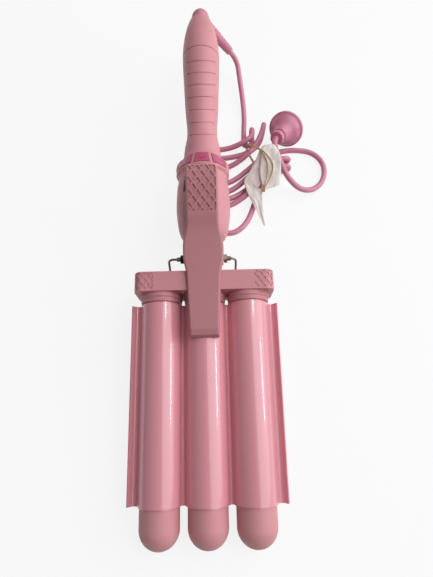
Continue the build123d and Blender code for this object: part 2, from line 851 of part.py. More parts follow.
# Wire stand: one bent wire whose ends turn in the pin's bore
lean_down = -along * sin(radians(stand_lean)) - upward * cos(radians(stand_lean))
stand_left = stand_shift - stand_half_width
stand_right = stand_shift + stand_half_width
hinge_centre = place(0, hinge_y, hinge_z)
with BuildPart() as wire_stand:
    with BuildLine():
        stand_line = FilletPolyline(
            hinge_centre + sideways * (stand_insert - pin_half_length),
            hinge_centre + sideways * stand_left,
            hinge_centre + sideways * stand_left + lean_down * stand_leg,
            hinge_centre + sideways * stand_right + lean_down * stand_leg,
            hinge_centre + sideways * stand_right,
            hinge_centre + sideways * (pin_half_length - stand_insert),
            radius=stand_corner,
        )
    with BuildSketch(Plane(stand_line @ 0, z_dir=stand_line % 0)):
        Circle(wire_r)
    sweep()
wire_stand.part.label = "wire_stand"
export_step(wire_stand.part, "parts/wire_stand.step")

# Two rubber sleeves on the foot of the stand
foot_centre = hinge_centre + lean_down * stand_leg
with BuildPart() as stand_feet:
    for start in (stand_left + stand_foot_inset, stand_right - stand_foot_inset - stand_foot_length):
        with BuildSketch(Plane(foot_centre + sideways * start, z_dir=sideways)):
            Circle(stand_foot_r)
            Circle(wire_r, mode=Mode.SUBTRACT)
        extrude(amount=stand_foot_length)
stand_feet.part.label = "stand_feet"
export_step(stand_feet.part, "parts/stand_feet.step")


def handle_profile(inset, closed_at):
    """Half outline of the handle in the side plane, drawn in by an inset."""
    start = nose_y + inset
    start_r = nose_inner_r if inset >= shell_wall else nose_r - inset
    band_slope = (band_rear_r - band_front_r) / (band_rear_y - band_front_y)
    Line((start, 0), (start, start_r))
    body = [(start, start_r)] + [(y, r - inset) for y, r in body_stations if y > start + 2]
    body = body + [(waist_y, waist_r - inset)]
    Spline(*body, tangents=((0.5, 1.0), (1.0, -0.1)))
    Spline(
        (waist_y, waist_r - inset), (shoulder_y, shoulder_r - inset), tangents=((1.0, -0.1), (1.0, 0.35))
    )
    if inset:
        Line((shoulder_y, shoulder_r - inset), (band_front_y, band_front_r - inset))
    else:
        shoulder_middle = ((shoulder_y + 2 * band_front_y) / 3, (shoulder_r + band_front_r) / 2 + 0.3)
        ThreePointArc((shoulder_y, shoulder_r), shoulder_middle, (band_front_y, band_front_r))
    Line((band_front_y, band_front_r - inset), (band_rear_y, band_rear_r - inset))
    grip = [(band_rear_y, band_rear_r - inset)] + [(y, r - inset) for y, r in grip_stations]
    Spline(*grip, (closed_at, seam_r - inset), tangents=((1.0, 1.5 * band_slope), (1.0, 0.0)))
    Line((closed_at, seam_r - inset), (closed_at, 0))
    Line((closed_at, 0), (start, 0))


with BuildPart() as handle_solid:
    with BuildSketch(side(0)):
        with BuildLine():
            handle_profile(0, seam_y)
        make_face()
    revolve(axis=tool_axis)
    with Locations(place(-lobe_x, lobe_y, 0), place(lobe_x, lobe_y, 0)):
        Sphere(lobe_r)

with BuildPart() as handle_space:
    with BuildSketch(side(0)):
        with BuildLine():
            handle_profile(shell_wall, seam_y)
        make_face()
    revolve(axis=tool_axis)


def band_profile(front, rear, outer, inner):
    """Outline of a ring piece that follows the button band's cone."""
    slope = (band_rear_r - band_front_r) / (band_rear_y - band_front_y)
    front_r = band_front_r + slope * (front - band_front_y)
    rear_r = band_front_r + slope * (rear - band_front_y)
    Polygon(
        (front, front_r + outer),
        (rear, rear_r + outer),
        (rear, rear_r - inner),
        (front, front_r - inner),
        align=None,
    )


button_front = band_front_y + button_inset_y
button_rear = band_rear_y - button_inset_y
button_spans = {
    "left": (-side_button_centre, side_button_half_angle),
    "middle": (0.0, button_half_angle),
    "right": (side_button_centre, side_button_half_angle),
}
gap_angle = degrees(button_gap / band_rear_r)

# Openings of the top shell: the button band and the display window
with BuildPart() as band_opening:
    with BuildSketch(radial(-band_half_angle)):
        band_profile(band_front_y, band_rear_y, 3.0, shell_wall + 1.5)
    revolve(axis=tool_axis, revolution_arc=2 * band_half_angle)

with BuildPart() as display_opening:
    with BuildSketch(radial(display_angle - display_half_angle)):
        with BuildLine():
            Polyline(
                (display_front, 20.0),
                (display_front + display_length, 20.0),
                (display_front + display_length, 27.0),
                (display_front, 27.0),
                close=True,
            )
        make_face()
    revolve(axis=tool_axis, revolution_arc=2 * display_half_angle)

with BuildPart() as groove_cutter:
    for y in groove_top_ys:
        lean = radians(groove_lean)
        groove_normal = along * cos(lean) + upward * sin(lean)
        with BuildSketch(Plane(place(0, y, 17.0), x_dir=sideways, z_dir=groove_normal)):
            with Locations((0, 8.0)):
                Rectangle(60, 60)
        extrude(amount=groove_width / 2, both=True)

with BuildPart() as groove_zone:
    with BuildSketch(side(0)):
        with BuildLine():
            handle_profile(groove_depth, seam_y)
        make_face()
    revolve(axis=tool_axis)

with BuildPart() as groove_wedge:
    with BuildSketch(radial(-groove_half_angle)):
        Polygon((140.0, 0), (250.0, 0), (250.0, 40.0), (140.0, 40.0), align=None)
    revolve(axis=tool_axis, revolution_arc=2 * groove_half_angle)
    add(groove_cutter.part, mode=Mode.INTERSECT)
    add(groove_zone.part, mode=Mode.SUBTRACT)

with BuildPart() as spigot_bore:
    with BuildSketch(across(seam_y)):
        Circle(seam_r - shell_wall)
    extrude(amount=cap_spigot + 0.5)

with BuildPart() as nose_opening:
    with BuildSketch(across(nose_wall_rear + 1)):
        RectangleRounded(chassis_width + 2 * fit_gap, chassis_height + 2 * fit_gap, chassis_corner)
    extrude(amount=shell_wall + 2)

boss_spots = [(0.0, y) for y in shell_screw_ys]
boss_spots = boss_spots + [(-body_screw_x, body_screw_y), (body_screw_x, body_screw_y)]
boss_depths = [15.2, 17.0, 16.2, 16.2]
head_depths = [14.9, 16.9, 17.6, 17.6]

# Top shell of the handle
with BuildPart() as handle_top:
    add(handle_solid.part)
    add(handle_space.part, mode=Mode.SUBTRACT)
    for spot, depth in zip(boss_spots, boss_depths):
        with BuildSketch(level(0)):
            with Locations(spot):
                Circle(shell_boss_r)
        extrude(amount=depth)
    with BuildSketch(level(0)):
        with Locations((0, (nose_y + seam_y) / 2)):
            Rectangle(80, seam_y - nose_y + 20)
    extrude(amount=40, mode=Mode.INTERSECT)
    for spot in boss_spots:
        with BuildSketch(level(0)):
            with Locations(spot):
                Circle(shell_screw_r)
        extrude(amount=screw_grip + 1, mode=Mode.SUBTRACT)
    add(nose_opening.part, mode=Mode.SUBTRACT)
    add(spigot_bore.part, mode=Mode.SUBTRACT)
    add(band_opening.part, mode=Mode.SUBTRACT)
    add(display_opening.part, mode=Mode.SUBTRACT)
    add(groove_wedge.part, mode=Mode.SUBTRACT)
handle_top.part.label = "handle_top_shell"
export_step(handle_top.part, "parts/handle_top_shell.step")

# Bottom shell with the screw bosses and the board's four posts
with BuildPart() as handle_bottom:
    add(handle_solid.part)
    add(handle_space.part, mode=Mode.SUBTRACT)
    for spot, depth in zip(boss_spots, boss_depths):
        with BuildSketch(level(0)):
            with Locations(spot):
                Circle(shell_boss_r)
        extrude(amount=-depth)
    with BuildSketch(level(0)):
        with Locations((0, (nose_y + seam_y) / 2)):
            Rectangle(80, seam_y - nose_y + 20)
    extrude(amount=-40, mode=Mode.INTERSECT)
    for post_x in (-pcb_post_x, pcb_post_x):
        for post_y in (pcb_front + 5, pcb_front + pcb_length - 5):
            with BuildSketch(level(pcb_level - pcb_thickness)):
                with Locations((post_x, post_y)):
                    Circle(pcb_post_r)
            extrude(amount=-pcb_post_length)
    for spot, depth in zip(boss_spots, head_depths):
        with BuildSketch(level(0)):
            with Locations(spot):
                Circle(shell_screw_r + fit_gap)
        extrude(amount=-30, mode=Mode.SUBTRACT)
        with BuildSketch(level(-depth)):
            with Locations(spot):
                Circle(shell_screw_head_r + fit_gap)
        extrude(amount=-15, mode=Mode.SUBTRACT)
    with BuildSketch(level(0)):
        with Locations((0, cap_screw_y)):
            Circle(shell_screw_r + fit_gap)
    extrude(amount=-30, mode=Mode.SUBTRACT)
    with BuildSketch(level(-seam_r + cap_screw_sink)):
        with Locations((0, cap_screw_y)):
            Circle(shell_screw_head_r + fit_gap)
    extrude(amount=-15, mode=Mode.SUBTRACT)
    add(nose_opening.part, mode=Mode.SUBTRACT)
    add(spigot_bore.part, mode=Mode.SUBTRACT)
handle_bottom.part.label = "handle_bottom_shell"
export_step(handle_bottom.part, "parts/handle_bottom_shell.step")

# Handle screws, up through the bottom shell into the top one
with BuildPart() as handle_screws:
    for spot, depth in zip(boss_spots, head_depths):
        with BuildSketch(level(-depth)):
            with Locations(spot):
                Circle(shell_screw_head_r)
        extrude(amount=-shell_screw_head * 0.75)
        with BuildSketch(level(-depth)):
            with Locations(spot):
                Circle(shell_screw_r)
        extrude(amount=depth + screw_grip)
handle_screws.part.label = "handle_screws"
export_step(handle_screws.part, "parts/handle_screws.step")

# Button bezel with its three openings and two webs down to the board
board_face_r = button_board_r / cos(radians(side_button_centre / 2))
with BuildPart() as button_bezel:
    with BuildSketch(radial(-band_half_angle + 0.3)):
        band_profile(band_front_y + fit_gap, band_rear_y - fit_gap, 0, bezel_thickness)
    revolve(axis=tool_axis, revolution_arc=2 * band_half_angle - 0.6)
    for angle in (-bezel_web_angle, bezel_web_angle):
        with BuildSketch(radial(angle - 1.5)):
            Polygon(
                (button_front, board_face_r),
                (button_rear, board_face_r),
                (button_rear, band_rear_r - 1.5),
                (button_front, band_front_r - 1.5),
                align=None,
            )
        revolve(axis=tool_axis, revolution_arc=3.0)
    for angle, half in button_spans.values():
        with BuildSketch(radial(angle - half)):
            band_profile(button_front, button_rear, 2.0, bezel_thickness + 2.0)
        revolve(axis=tool_axis, revolution_arc=2 * half, mode=Mode.SUBTRACT)
button_bezel.part.label = "button_bezel"
export_step(button_bezel.part, "parts/button_bezel.step")

# Three buttons, each a cap that follows the cone with a stem over its switch
button_mid_y = (button_front + button_rear) / 2
button_mid_r = (band_front_r + band_rear_r) / 2
for name, (angle, half) in button_spans.items():
    with BuildPart() as button:
        with BuildSketch(radial(angle - half + gap_angle)):
            band_profile(button_front + button_gap, button_rear - button_gap, button_proud, button_thickness)
        revolve(axis=tool_axis, revolution_arc=2 * (half - gap_angle))
        with BuildSketch(facing(angle, button_mid_y, button_board_r + switch_height + switch_gap)):
            Circle(button_stem_r)
        extrude(amount=button_mid_r - button_thickness - button_board_r - switch_height - switch_gap + 1.0)
        if name == "middle":
            with BuildSketch(facing(0, button_mid_y, button_mid_r + button_proud - mark_depth)):
                Circle(2.9)
                Circle(2.3, mode=Mode.SUBTRACT)
                with Locations((0, 2.6)):
                    Rectangle(0.6, 1.8)
            extrude(amount=3, mode=Mode.SUBTRACT)
        if name == "right":
            with BuildSketch(facing(angle, button_mid_y, button_mid_r + button_proud - mark_depth)):
                Rectangle(3.6, 0.7)
            extrude(amount=3, mode=Mode.SUBTRACT)
    button.part.label = f"button_{name}"
    export_step(button.part, f"parts/button_{name}.step")

# Folded button board under the bezel
fold = radians(side_button_centre / 2)
fold_angles = (-3 * fold, -fold, fold, 3 * fold)
with BuildPart() as button_board:
    outer_r = button_board_r / cos(fold)
    inner_r = (button_board_r - board_thickness) / cos(fold)
    with BuildSketch(across(button_rear)):
        Polygon(
            *[(outer_r * sin(a), outer_r * cos(a)) for a in fold_angles],
            *[(inner_r * sin(a), inner_r * cos(a)) for a in reversed(fold_angles)],
            align=None,
        )
    extrude(amount=button_rear - button_front)
button_board.part.label = "button_board"
export_step(button_board.part, "parts/button_board.step")

# Three tact switches
with BuildPart() as tact_switches:
    for angle, half in button_spans.values():
        with BuildSketch(facing(angle, button_mid_y, button_board_r)):
            Rectangle(switch_size, switch_size)
        extrude(amount=switch_height - 0.8)
        with BuildSketch(facing(angle, button_mid_y, button_board_r + switch_height - 0.8)):
            Circle(switch_size / 3)
        extrude(amount=0.8)
tact_switches.part.label = "tact_switches"
export_step(tact_switches.part, "parts/tact_switches.step")

# Display window in the left flank, and the lamp board behind it
with BuildPart() as display_lens:
    add(handle_solid.part)
    add(handle_space.part, mode=Mode.SUBTRACT)
    with BuildSketch(radial(display_angle - display_half_angle + 0.25)):
        Polygon(
            (display_front + fit_gap, 20.0),
            (display_front + display_length - fit_gap, 20.0),
            (display_front + display_length - fit_gap, 27.0),
            (display_front + fit_gap, 27.0),
            align=None,
        )
    revolve(axis=tool_axis, revolution_arc=2 * display_half_angle - 0.5, mode=Mode.INTERSECT)
display_lens.part.label = "display_lens"
export_step(display_lens.part, "parts/display_lens.step")

with BuildPart() as display_board:
    with BuildSketch(facing(display_angle, display_front + display_length / 2, display_board_r)):
        Rectangle(5.0, display_length + 2)
    extrude(amount=-display_board_thickness)
    with BuildSketch(facing(display_angle, display_front + display_length / 2, display_board_r)):
        Rectangle(2.4, display_length - 3)
    extrude(amount=0.6)
display_board.part.label = "display_board"
export_step(display_board.part, "parts/display_board.step")

# Main board and what is soldered on it
with BuildPart() as main_pcb:
    with BuildSketch(level(pcb_level)):
        with Locations((0, pcb_front + pcb_length / 2)):
            Rectangle(pcb_width, pcb_length)
    extrude(amount=-pcb_thickness)
main_pcb.part.label = "main_pcb"
export_step(main_pcb.part, "parts/main_pcb.step")

block_sizes = ((-4.0, 8.0, 10.0, 12.0, 9.0), (5.5, 10.0, 7.0, 9.0, 5.0), (4.0, 27.0, 11.0, 6.0, 4.0))
with BuildPart() as pcb_components:
    for x, y, width, length, height in block_sizes:
        with BuildSketch(level(pcb_level)):
            with Locations((x, pcb_front + y)):
                Rectangle(width, length)
        extrude(amount=height)
    with BuildSketch(level(pcb_level)):
        with Locations((-5.0, pcb_front + 24.0)):
            Circle(4.0)
        with Locations((-4.5, pcb_front + 36.0), (4.5, pcb_front + 36.0)):
            Circle(2.5)
    extrude(amount=9.0)
pcb_components.part.label = "pcb_components"
export_step(pcb_components.part, "parts/pcb_components.step")


def cap_profile(inset, floor):
    """Half outline of the end cap in the side plane."""
    stations = [(seam_y, seam_r - inset)] + [(y, r - inset) for y, r in cap_stations if y < floor]
    Line((seam_y, 0), (seam_y, seam_r - inset))
    if inset:
        Spline(*stations, tangents=((1.0, 0.0), (1.0, -0.18)))
        Line(stations[-1], (floor, stations[-1][1] - 0.4))
        Line((floor, stations[-1][1] - 0.4), (floor, 0))
    else:
        Spline(*stations, (cap_end_y - 0.8, cap_end_r), tangents=((1.0, 0.0), (1.0, -0.42)))
        Line((cap_end_y - 0.8, cap_end_r), (cap_end_y, cap_end_r - 1.0))
        Line((cap_end_y, cap_end_r - 1.0), (cap_end_y, 0))
    Line((floor if inset else cap_end_y, 0), (seam_y, 0))


# End cap: shell, spigot into the handle, bush for the swivel's shaft and its ball socket
spigot_outer_r = seam_r - shell_wall - fit_gap
with BuildPart() as end_cap:
    with BuildSketch(side(0)):
        with BuildLine():
            cap_profile(0, cap_end_y)
        make_face()
    revolve(axis=tool_axis)
    with BuildSketch(side(0)):
        with BuildLine():
            cap_profile(cap_wall, cap_floor_y)
        make_face()
    revolve(axis=tool_axis, mode=Mode.SUBTRACT)
    with BuildSketch(across(cap_floor_y)):
        Circle(clip_r)
    extrude(amount=bush_length)
    with BuildSketch(across(seam_y + cap_overlap)):
        Circle(seam_r - shell_wall / 2)
        Circle(spigot_outer_r - shell_wall, mode=Mode.SUBTRACT)
    extrude(amount=cap_overlap)
    with BuildSketch(across(seam_y)):
        Circle(spigot_outer_r)
        Circle(spigot_outer_r - shell_wall, mode=Mode.SUBTRACT)
    extrude(amount=cap_spigot)
    with BuildSketch(across(cap_end_y)):
        Circle(shaft_r + shaft_gap)
    extrude(amount=cap_end_y - cap_floor_y + bush_length, mode=Mode.SUBTRACT)
    with BuildSketch(side(0)):
        with BuildLine():
            CenterArc((ball_y, 0), ball_r + ball_gap, 0, 180)
            Line((ball_y - ball_r - ball_gap, 0), (ball_y + ball_r + ball_gap, 0))
        make_face()
    revolve(axis=tool_axis, mode=Mode.SUBTRACT)
    with BuildSketch(level(-spigot_outer_r - 1)):
        with Locations((0, cap_screw_y)):
            Circle(shell_screw_r)
    extrude(amount=shell_wall + 2, mode=Mode.SUBTRACT)
end_cap.part.label = "end_cap"
export_step(end_cap.part, "parts/end_cap.step")

with BuildPart() as cap_screw:
    with BuildSketch(level(-seam_r + cap_screw_sink)):
        with Locations((0, cap_screw_y)):
            Circle(shell_screw_head_r)
    extrude(amount=-cap_screw_sink * 0.75)
    with BuildSketch(level(-seam_r + cap_screw_sink)):
        with Locations((0, cap_screw_y)):
            Circle(shell_screw_r)
    extrude(amount=4.2)
cap_screw.part.label = "cap_screw"
export_step(cap_screw.part, "parts/cap_screw.step")

# Wires: from the heaters back to the board, and from the swivel forward to it
lead_level = pcb_level + lead_r
heater_leads_points = {
    "left": ((-barrel_pitch, heater_rear, 0), (-barrel_pitch, 10.8, 0), (-8.0, 10.8, 0), (-8.0, 24.0, -5.0)),
    "middle": ((0, heater_rear, 0), (0, 12.0, 0), (0, 24.0, -5.0)),
    "right": ((barrel_pitch, heater_rear, 0), (barrel_pitch, 10.8, 0), (8.0, 10.8, 0), (8.0, 24.0, -5.0)),
}
with BuildPart() as heater_leads:
    for points in heater_leads_points.values():
        x = points[-1][0]
        route = points + ((x, 50.0, -5.0), (x, pcb_front - 1.5, lead_level), (x, pcb_front + 1.8, lead_level))
        with BuildLine():
            lead_line = FilletPolyline(*[place(*point) for point in route], radius=1.5)
        with BuildSketch(Plane(lead_line @ 0, z_dir=lead_line % 0)):
            Circle(lead_r)
        sweep()
heater_leads.part.label = "heater_leads"
export_step(heater_leads.part, "parts/heater_leads.step")

with BuildPart() as mains_leads:
    for half in (-1, 1):
        route = (
            (half * lead_spacing / 2, shaft_end_y + 4, 0),
            (half * lead_spacing / 2, shaft_end_y - 2, 0),
            (half * lead_clear_x, 262.0, 0),
            (half * lead_clear_x, 122.0, -2.0),
            (half * lead_clear_x, pcb_front + pcb_length + 1.5, lead_level),
            (half * lead_clear_x, pcb_front + pcb_length - 1.8, lead_level),
        )
        with BuildLine():
            lead_line = FilletPolyline(*[place(*point) for point in route], radius=1.5)
        with BuildSketch(Plane(lead_line @ 0, z_dir=lead_line % 0)):
            Circle(lead_r)
        sweep()
mains_leads.part.label = "mains_leads"
export_step(mains_leads.part, "parts/mains_leads.step")

# Swivel ball with its hollow shaft, and the clip that keeps it in
relief_out = sideways * sin(radians(relief_side)) - upward * cos(radians(relief_side))
relief_way = relief_out * cos(radians(relief_back)) - along * sin(radians(relief_back))
ball_centre = place(0, ball_y, 0)
with BuildPart() as swivel_ball:
    with BuildSketch(side(0)):
        with BuildLine():
            CenterArc((ball_y, 0), ball_r, 0, 180)
            Line((ball_y - ball_r, 0), (ball_y + ball_r, 0))
        make_face()
    revolve(axis=tool_axis)
    with BuildSketch(across(ball_y)):
        Circle(shaft_r)
    extrude(amount=ball_y - shaft_end_y)
    with BuildSketch(across(ball_y)):
        Circle(shaft_bore_r)
    extrude(amount=ball_y - shaft_end_y, mode=Mode.SUBTRACT)
    with BuildSketch(across(shaft_end_y + 1.5 + clip_thickness + fit_gap)):
        Circle(shaft_r + 1)
        Circle(shaft_r - clip_bite, mode=Mode.SUBTRACT)
    extrude(amount=clip_thickness + 2 * fit_gap, mode=Mode.SUBTRACT)
    with BuildSketch(Plane(ball_centre + relief_way * relief_offset, z_dir=relief_way)):
        Circle(relief_root_r)
    extrude(amount=ball_r, mode=Mode.SUBTRACT)
swivel_ball.part.label = "swivel_ball"
export_step(swivel_ball.part, "parts/swivel_ball.step")

with BuildPart() as swivel_clip:
    with BuildSketch(across(shaft_end_y + 1.5 + clip_thickness)):
        Circle(clip_r)
        Circle(shaft_r - clip_bite, mode=Mode.SUBTRACT)
    extrude(amount=clip_thickness)
swivel_clip.part.label = "swivel_clip"
export_step(swivel_clip.part, "parts/swivel_clip.step")

# Strain relief: a tapered sleeve with ribs, moulded into the ball
relief_axis = Axis(ball_centre, relief_way)
relief_plane = Plane(ball_centre, x_dir=relief_way, z_dir=relief_way.cross(along).normalized())
rib_pitch = (relief_length - relief_rib_start) / relief_ribs
with BuildPart() as strain_relief:
    with BuildSketch(relief_plane):
        with BuildLine():
            Polyline(
                (relief_offset, 0),
                (relief_offset, relief_root_r),
                (relief_rib_start, relief_root_r),
                (relief_length, relief_end_r),
                (relief_length, 0),
                close=True,
            )
        make_face()
    revolve(axis=relief_axis)
    with BuildSketch(relief_plane):
        for index in range(relief_ribs - 1):
            at = relief_rib_start + (index + 0.8) * rib_pitch
            share = (at - relief_rib_start) / (relief_length - relief_rib_start)
            here = relief_root_r + (relief_end_r - relief_root_r) * share
            Polygon(
                (at - rib_pitch * 0.22, here + 0.4),
                (at + rib_pitch * 0.22, here + 0.4),
                (at + rib_pitch * 0.14, here - relief_rib_depth),
                (at - rib_pitch * 0.14, here - relief_rib_depth),
                align=None,
            )
    revolve(axis=relief_axis, mode=Mode.SUBTRACT)
    with BuildSketch(side(0)):
        Polygon(
            (cap_end_y + 0.4, 0),
            (cap_end_y + 0.4, cap_end_r),
            (cap_end_y - 1.0, cap_end_r + 0.5),
            (cap_stations[-1][0], cap_stations[-1][1] + 0.5),
            (cap_stations[-2][0], cap_stations[-2][1] + 0.5),
            (cap_stations[-2][0], 0),
            align=None,
        )
    revolve(axis=tool_axis, mode=Mode.SUBTRACT)
strain_relief.part.label = "strain_relief"
export_step(strain_relief.part, "parts/strain_relief.step")

# Free cord from the strain relief down to the hank, world positions on the table
relief_tip = ball_centre + relief_way * relief_length


def bend_radii(points):
    """Radii for the corners of a cord's route, from its shorter neighbouring run."""
    radii = []
    for before, at, after in zip(points, points[1:], points[2:]):
        run_in = at - before
        run_out = after - at
        half_turn = radians(run_in.get_angle(run_out)) / 2
        radii.append(0.45 * min(run_in.length, run_out.length) / tan(half_turn))
    return radii


cord_run_points = [
    relief_tip,
    relief_tip + relief_way * 13.0,
    Vector(43.4, 219.0, 15.0),
    Vector(46.4, 196.0, 6.5),
    Vector(47.4, 172.0, 2.9),
    Vector(45.6, 150.0, 2.9),
]
print("cord_run radii", [round(r, 1) for r in bend_radii(cord_run_points)])
with BuildPart() as cord_run:
    with BuildLine():
        run_line = FilletPolyline(*cord_run_points, radius=bend_radii(cord_run_points))
    with BuildSketch(Plane(run_line @ 0, z_dir=run_line % 0)):
        Circle(cord_r)
    sweep()
print("cord_run length", round(run_line.length, 1))
cord_run.part.label = "cord_run"
export_step(cord_run.part, "parts/cord_run.step")

# Hank: one run of cord in loops, drawn in at the tie; each row is x, y, z, heading and climb
hank_rows = (
    (45.6, 150.0, 2.9, -94.7, 0),
    (45.0, 136.0, 3.6, -90, 0),
    (49.6, 130.6, 4.4, 0, 0),
    (54.2, 136.0, 4.4, 90, 0),
    (54.2, 144.0, 4.4, 90, 0),
    (54.2, 149.0, 8.4, 90, 90),
    (54.2, 144.0, 12.4, -90, 0),
    (54.0, 138.0, 12.4, -95, 0),
    (46.0, 130.6, 12.0, -178, 0),
    (30.0, 127.3, 5.0, -175, 0),
    (15.0, 126.4, 2.9, 180, 0),
    (9.6, 121.0, 2.9, -90, 0),
    (15.0, 115.6, 2.9, 0, 0),
    (30.0, 116.2, 2.9, 6, 0),
    (50.0, 121.0, 4.4, 22, 0),
    (61.0, 131.5, 4.4, 62, 0),
    (66.4, 148.0, 3.6, 76, 0),
    (68.2, 158.0, 7.8, 80, 90),
    (66.8, 149.5, 12.0, -100, 0),
    (61.5, 133.0, 12.0, -112, 0),
    (50.5, 116.0, 11.0, -138, 0),
    (30.0, 103.2, 4.0, -168, 0),
    (12.0, 100.5, 2.9, 180, 0),
    (-6.0, 80.0, 2.9, -92, 0),
    (-1.0, 45.0, 2.9, -76, 0),
    (14.0, 23.5, 2.9, -35, 0),
    (30.0, 20.6, 2.9, 12, 0),
    (44.0, 33.0, 2.9, 55, 0),
    (52.2, 53.6, 2.9, 82, 0),
    (57.0, 72.0, 4.0, 66, 0),
    (67.0, 86.0, 4.4, 42, 0),
    (80.0, 95.6, 3.6, 18, 0),
    (88.0, 97.4, 3.2, 5, 0),
    (93.2, 97.6, 7.2, 0, 90),
    (88.0, 97.2, 11.2, -178, 0),
    (76.0, 95.2, 11.2, -168, 0),
    (62.0, 86.0, 11.0, -138, 0),
    (51.0, 68.5, 10.4, -128, 0),
    (30.0, 54.6, 3.4, -165, 0),
    (14.0, 52.8, 2.9, 180, 0),
    (10.0, 56.8, 2.9, 90, 0),
    (14.0, 60.8, 2.9, 0, 0),
    (30.0, 62.8, 2.9, 16, 0),
    (51.0, 77.5, 3.8, 46, 0),
    (62.0, 92.0, 4.4, 46, 0),
    (76.0, 104.0, 3.8, 28, 0),
    (88.0, 107.6, 3.2, 6, 0),
    (93.6, 107.9, 7.2, 0, 90),
    (88.0, 107.5, 11.2, -178, 0),
    (76.0, 105.4, 11.2, -166, 0),
    (62.0, 98.0, 11.0, -146, 0),
    (48.0, 87.0, 8.0, -142, 0),
    (30.0, 72.4, 3.2, -152, 0),
    (15.0, 69.6, 2.9, 180, 0),
    (9.6, 75.0, 2.9, 90, 0),
    (15.0, 80.4, 2.9, 0, 0),
    (30.0, 83.4, 2.9, 28, 0),
    (50.0, 100.5, 4.2, 45, 0),
    (63.0, 113.2, 4.4, 40, 0),
    (72.0, 119.4, 4.2, 24, 0),
    (79.3, 121.6, 2.9, 10.9, 0),
)


def hank_arcs(rows):
    """Pairs of tangent arcs that join the rows: start, end and direction of each."""
    arcs = []
    for row, following in zip(rows, rows[1:]):
        ends = []
        for x, y, z, heading, climb in (row, following):
            flat = cos(radians(climb))
            way = Vector(flat * cos(radians(heading)), flat * sin(radians(heading)), sin(radians(climb)))
            ends.append((Vector(x, y, z), way))
        (p1, t1), (p2, t2) = ends
        span = p2 - p1
        both = t1 + t2
        turn = 2 * (1 - t1.dot(t2))
        if turn < 1e-9:
            reach = span.dot(span) / (4 * span.dot(t2))
        else:
            reach = (sqrt(span.dot(both) ** 2 + turn * span.dot(span)) - span.dot(both)) / turn
        middle = ((p1 + t1 * reach) + (p2 - t2 * reach)) * 0.5
        way = ((p2 - t2 * reach) - (p1 + t1 * reach)).normalized()
        arcs.append((p1, middle, t1))
        arcs.append((middle, p2, way))
    return arcs


with BuildPart() as cord_hank:
    with BuildLine():
        for start, end, way in hank_arcs(hank_rows):
            if way.cross((end - start).normalized()).length < 1e-5:
                Line(start, end)
            else:
                TangentArc(start, end, tangent=way)
    hank_wire = cord_hank.pending_edges_as_wire
    with BuildSketch(Plane(hank_wire @ 0, z_dir=hank_wire % 0)):
        Circle(cord_r)
    sweep()
hank_length = hank_wire.length
print("hank length", round(hank_length, 1), "from volume", round(cord_hank.part.volume / (pi * cord_r**2), 1))
cord_hank.part.label = "cord_hank"
export_step(cord_hank.part, "parts/cord_hank.step")

# Plug: a round body that leans on the rim of its face
plug_across = Vector(sin(radians(plug_heading)), -cos(radians(plug_heading)), 0)
plug_flat = Vector(cos(radians(plug_heading)), sin(radians(plug_heading)), 0)
plug_way = plug_flat * cos(radians(plug_tilt)) - Vector(0, 0, 1) * sin(radians(plug_tilt))
plug_face = Vector(plug_x, plug_y, plug_rim_r * cos(radians(plug_tilt)))
plug_plane = Plane(plug_face, x_dir=plug_way * -1, z_dir=plug_across)
with BuildPart() as plug_body:
    with BuildSketch(plug_plane):
        with BuildLine():
            Polyline((0, 0), (0, plug_rim_r), (plug_rim_edge, plug_rim_r))
            Spline(
                (plug_rim_edge, plug_rim_r),
                (plug_rim_edge + 4.0, 15.4),
                (plug_rim_edge + 9.0, 11.2),
                (plug_rim_edge + 14.0, 8.6),
                tangents=((0.2, -1.0), (1.0, -0.35)),
            )
            Polyline(
                (plug_rim_edge + 14.0, 8.6),
                (plug_length - 8.0, 7.4),
                (plug_length - 8.0, plug_neck_r),
                (plug_length - 5.5, plug_neck_r),
                (plug_length - 5.5, plug_neck_r + 0.9),
                (plug_length, plug_neck_r + 0.5),
                (plug_length, 0),
                (0, 0),
            )
        make_face()
    revolve(axis=Axis(plug_face, plug_way))
plug_body.part.label = "plug_body"
export_step(plug_body.part, "parts/plug_body.step")

with BuildPart() as plug_pins:
    for offset in (-plug_pin_spacing / 2, plug_pin_spacing / 2):
        with BuildSketch(Plane(plug_face + plug_across * offset, z_dir=plug_way)):
            Circle(plug_pin_r)
        extrude(amount=plug_pin_length)
    chamfer(plug_pins.edges().group_by(Axis(plug_face, plug_way))[-1], 0.6)
plug_pins.part.label = "plug_pins"
export_step(plug_pins.part, "parts/plug_pins.step")

# Last stretch of cord: the big loop beside the hank and up to the plug
neck_end = plug_face - plug_way * plug_length
cord_tail_points = [
    Vector(79.3, 121.6, 2.9),
    Vector(98.0, 125.2, 2.9),
    Vector(120.0, 121.8, 2.9),
    Vector(131.6, 106.5, 2.9),
    Vector(130.2, 86.0, 3.2),
    Vector(118.0, 70.5, 5.0),
    Vector(101.5, 67.0, 10.0),
    Vector(88.0, 77.0, 17.5),
    Vector(80.5, 91.0, 25.0),
    neck_end - plug_way * 10.0,
    neck_end,
]
print("cord_tail radii", [round(r, 1) for r in bend_radii(cord_tail_points)])
with BuildPart() as cord_tail:
    with BuildLine():
        tail_line = FilletPolyline(*cord_tail_points, radius=bend_radii(cord_tail_points))
    with BuildSketch(Plane(tail_line @ 0, z_dir=tail_line % 0)):
        Circle(cord_r)
    sweep()
print("cord_tail length", round(tail_line.length, 1))
cord_tail.part.label = "cord_tail"
export_step(cord_tail.part, "parts/cord_tail.step")

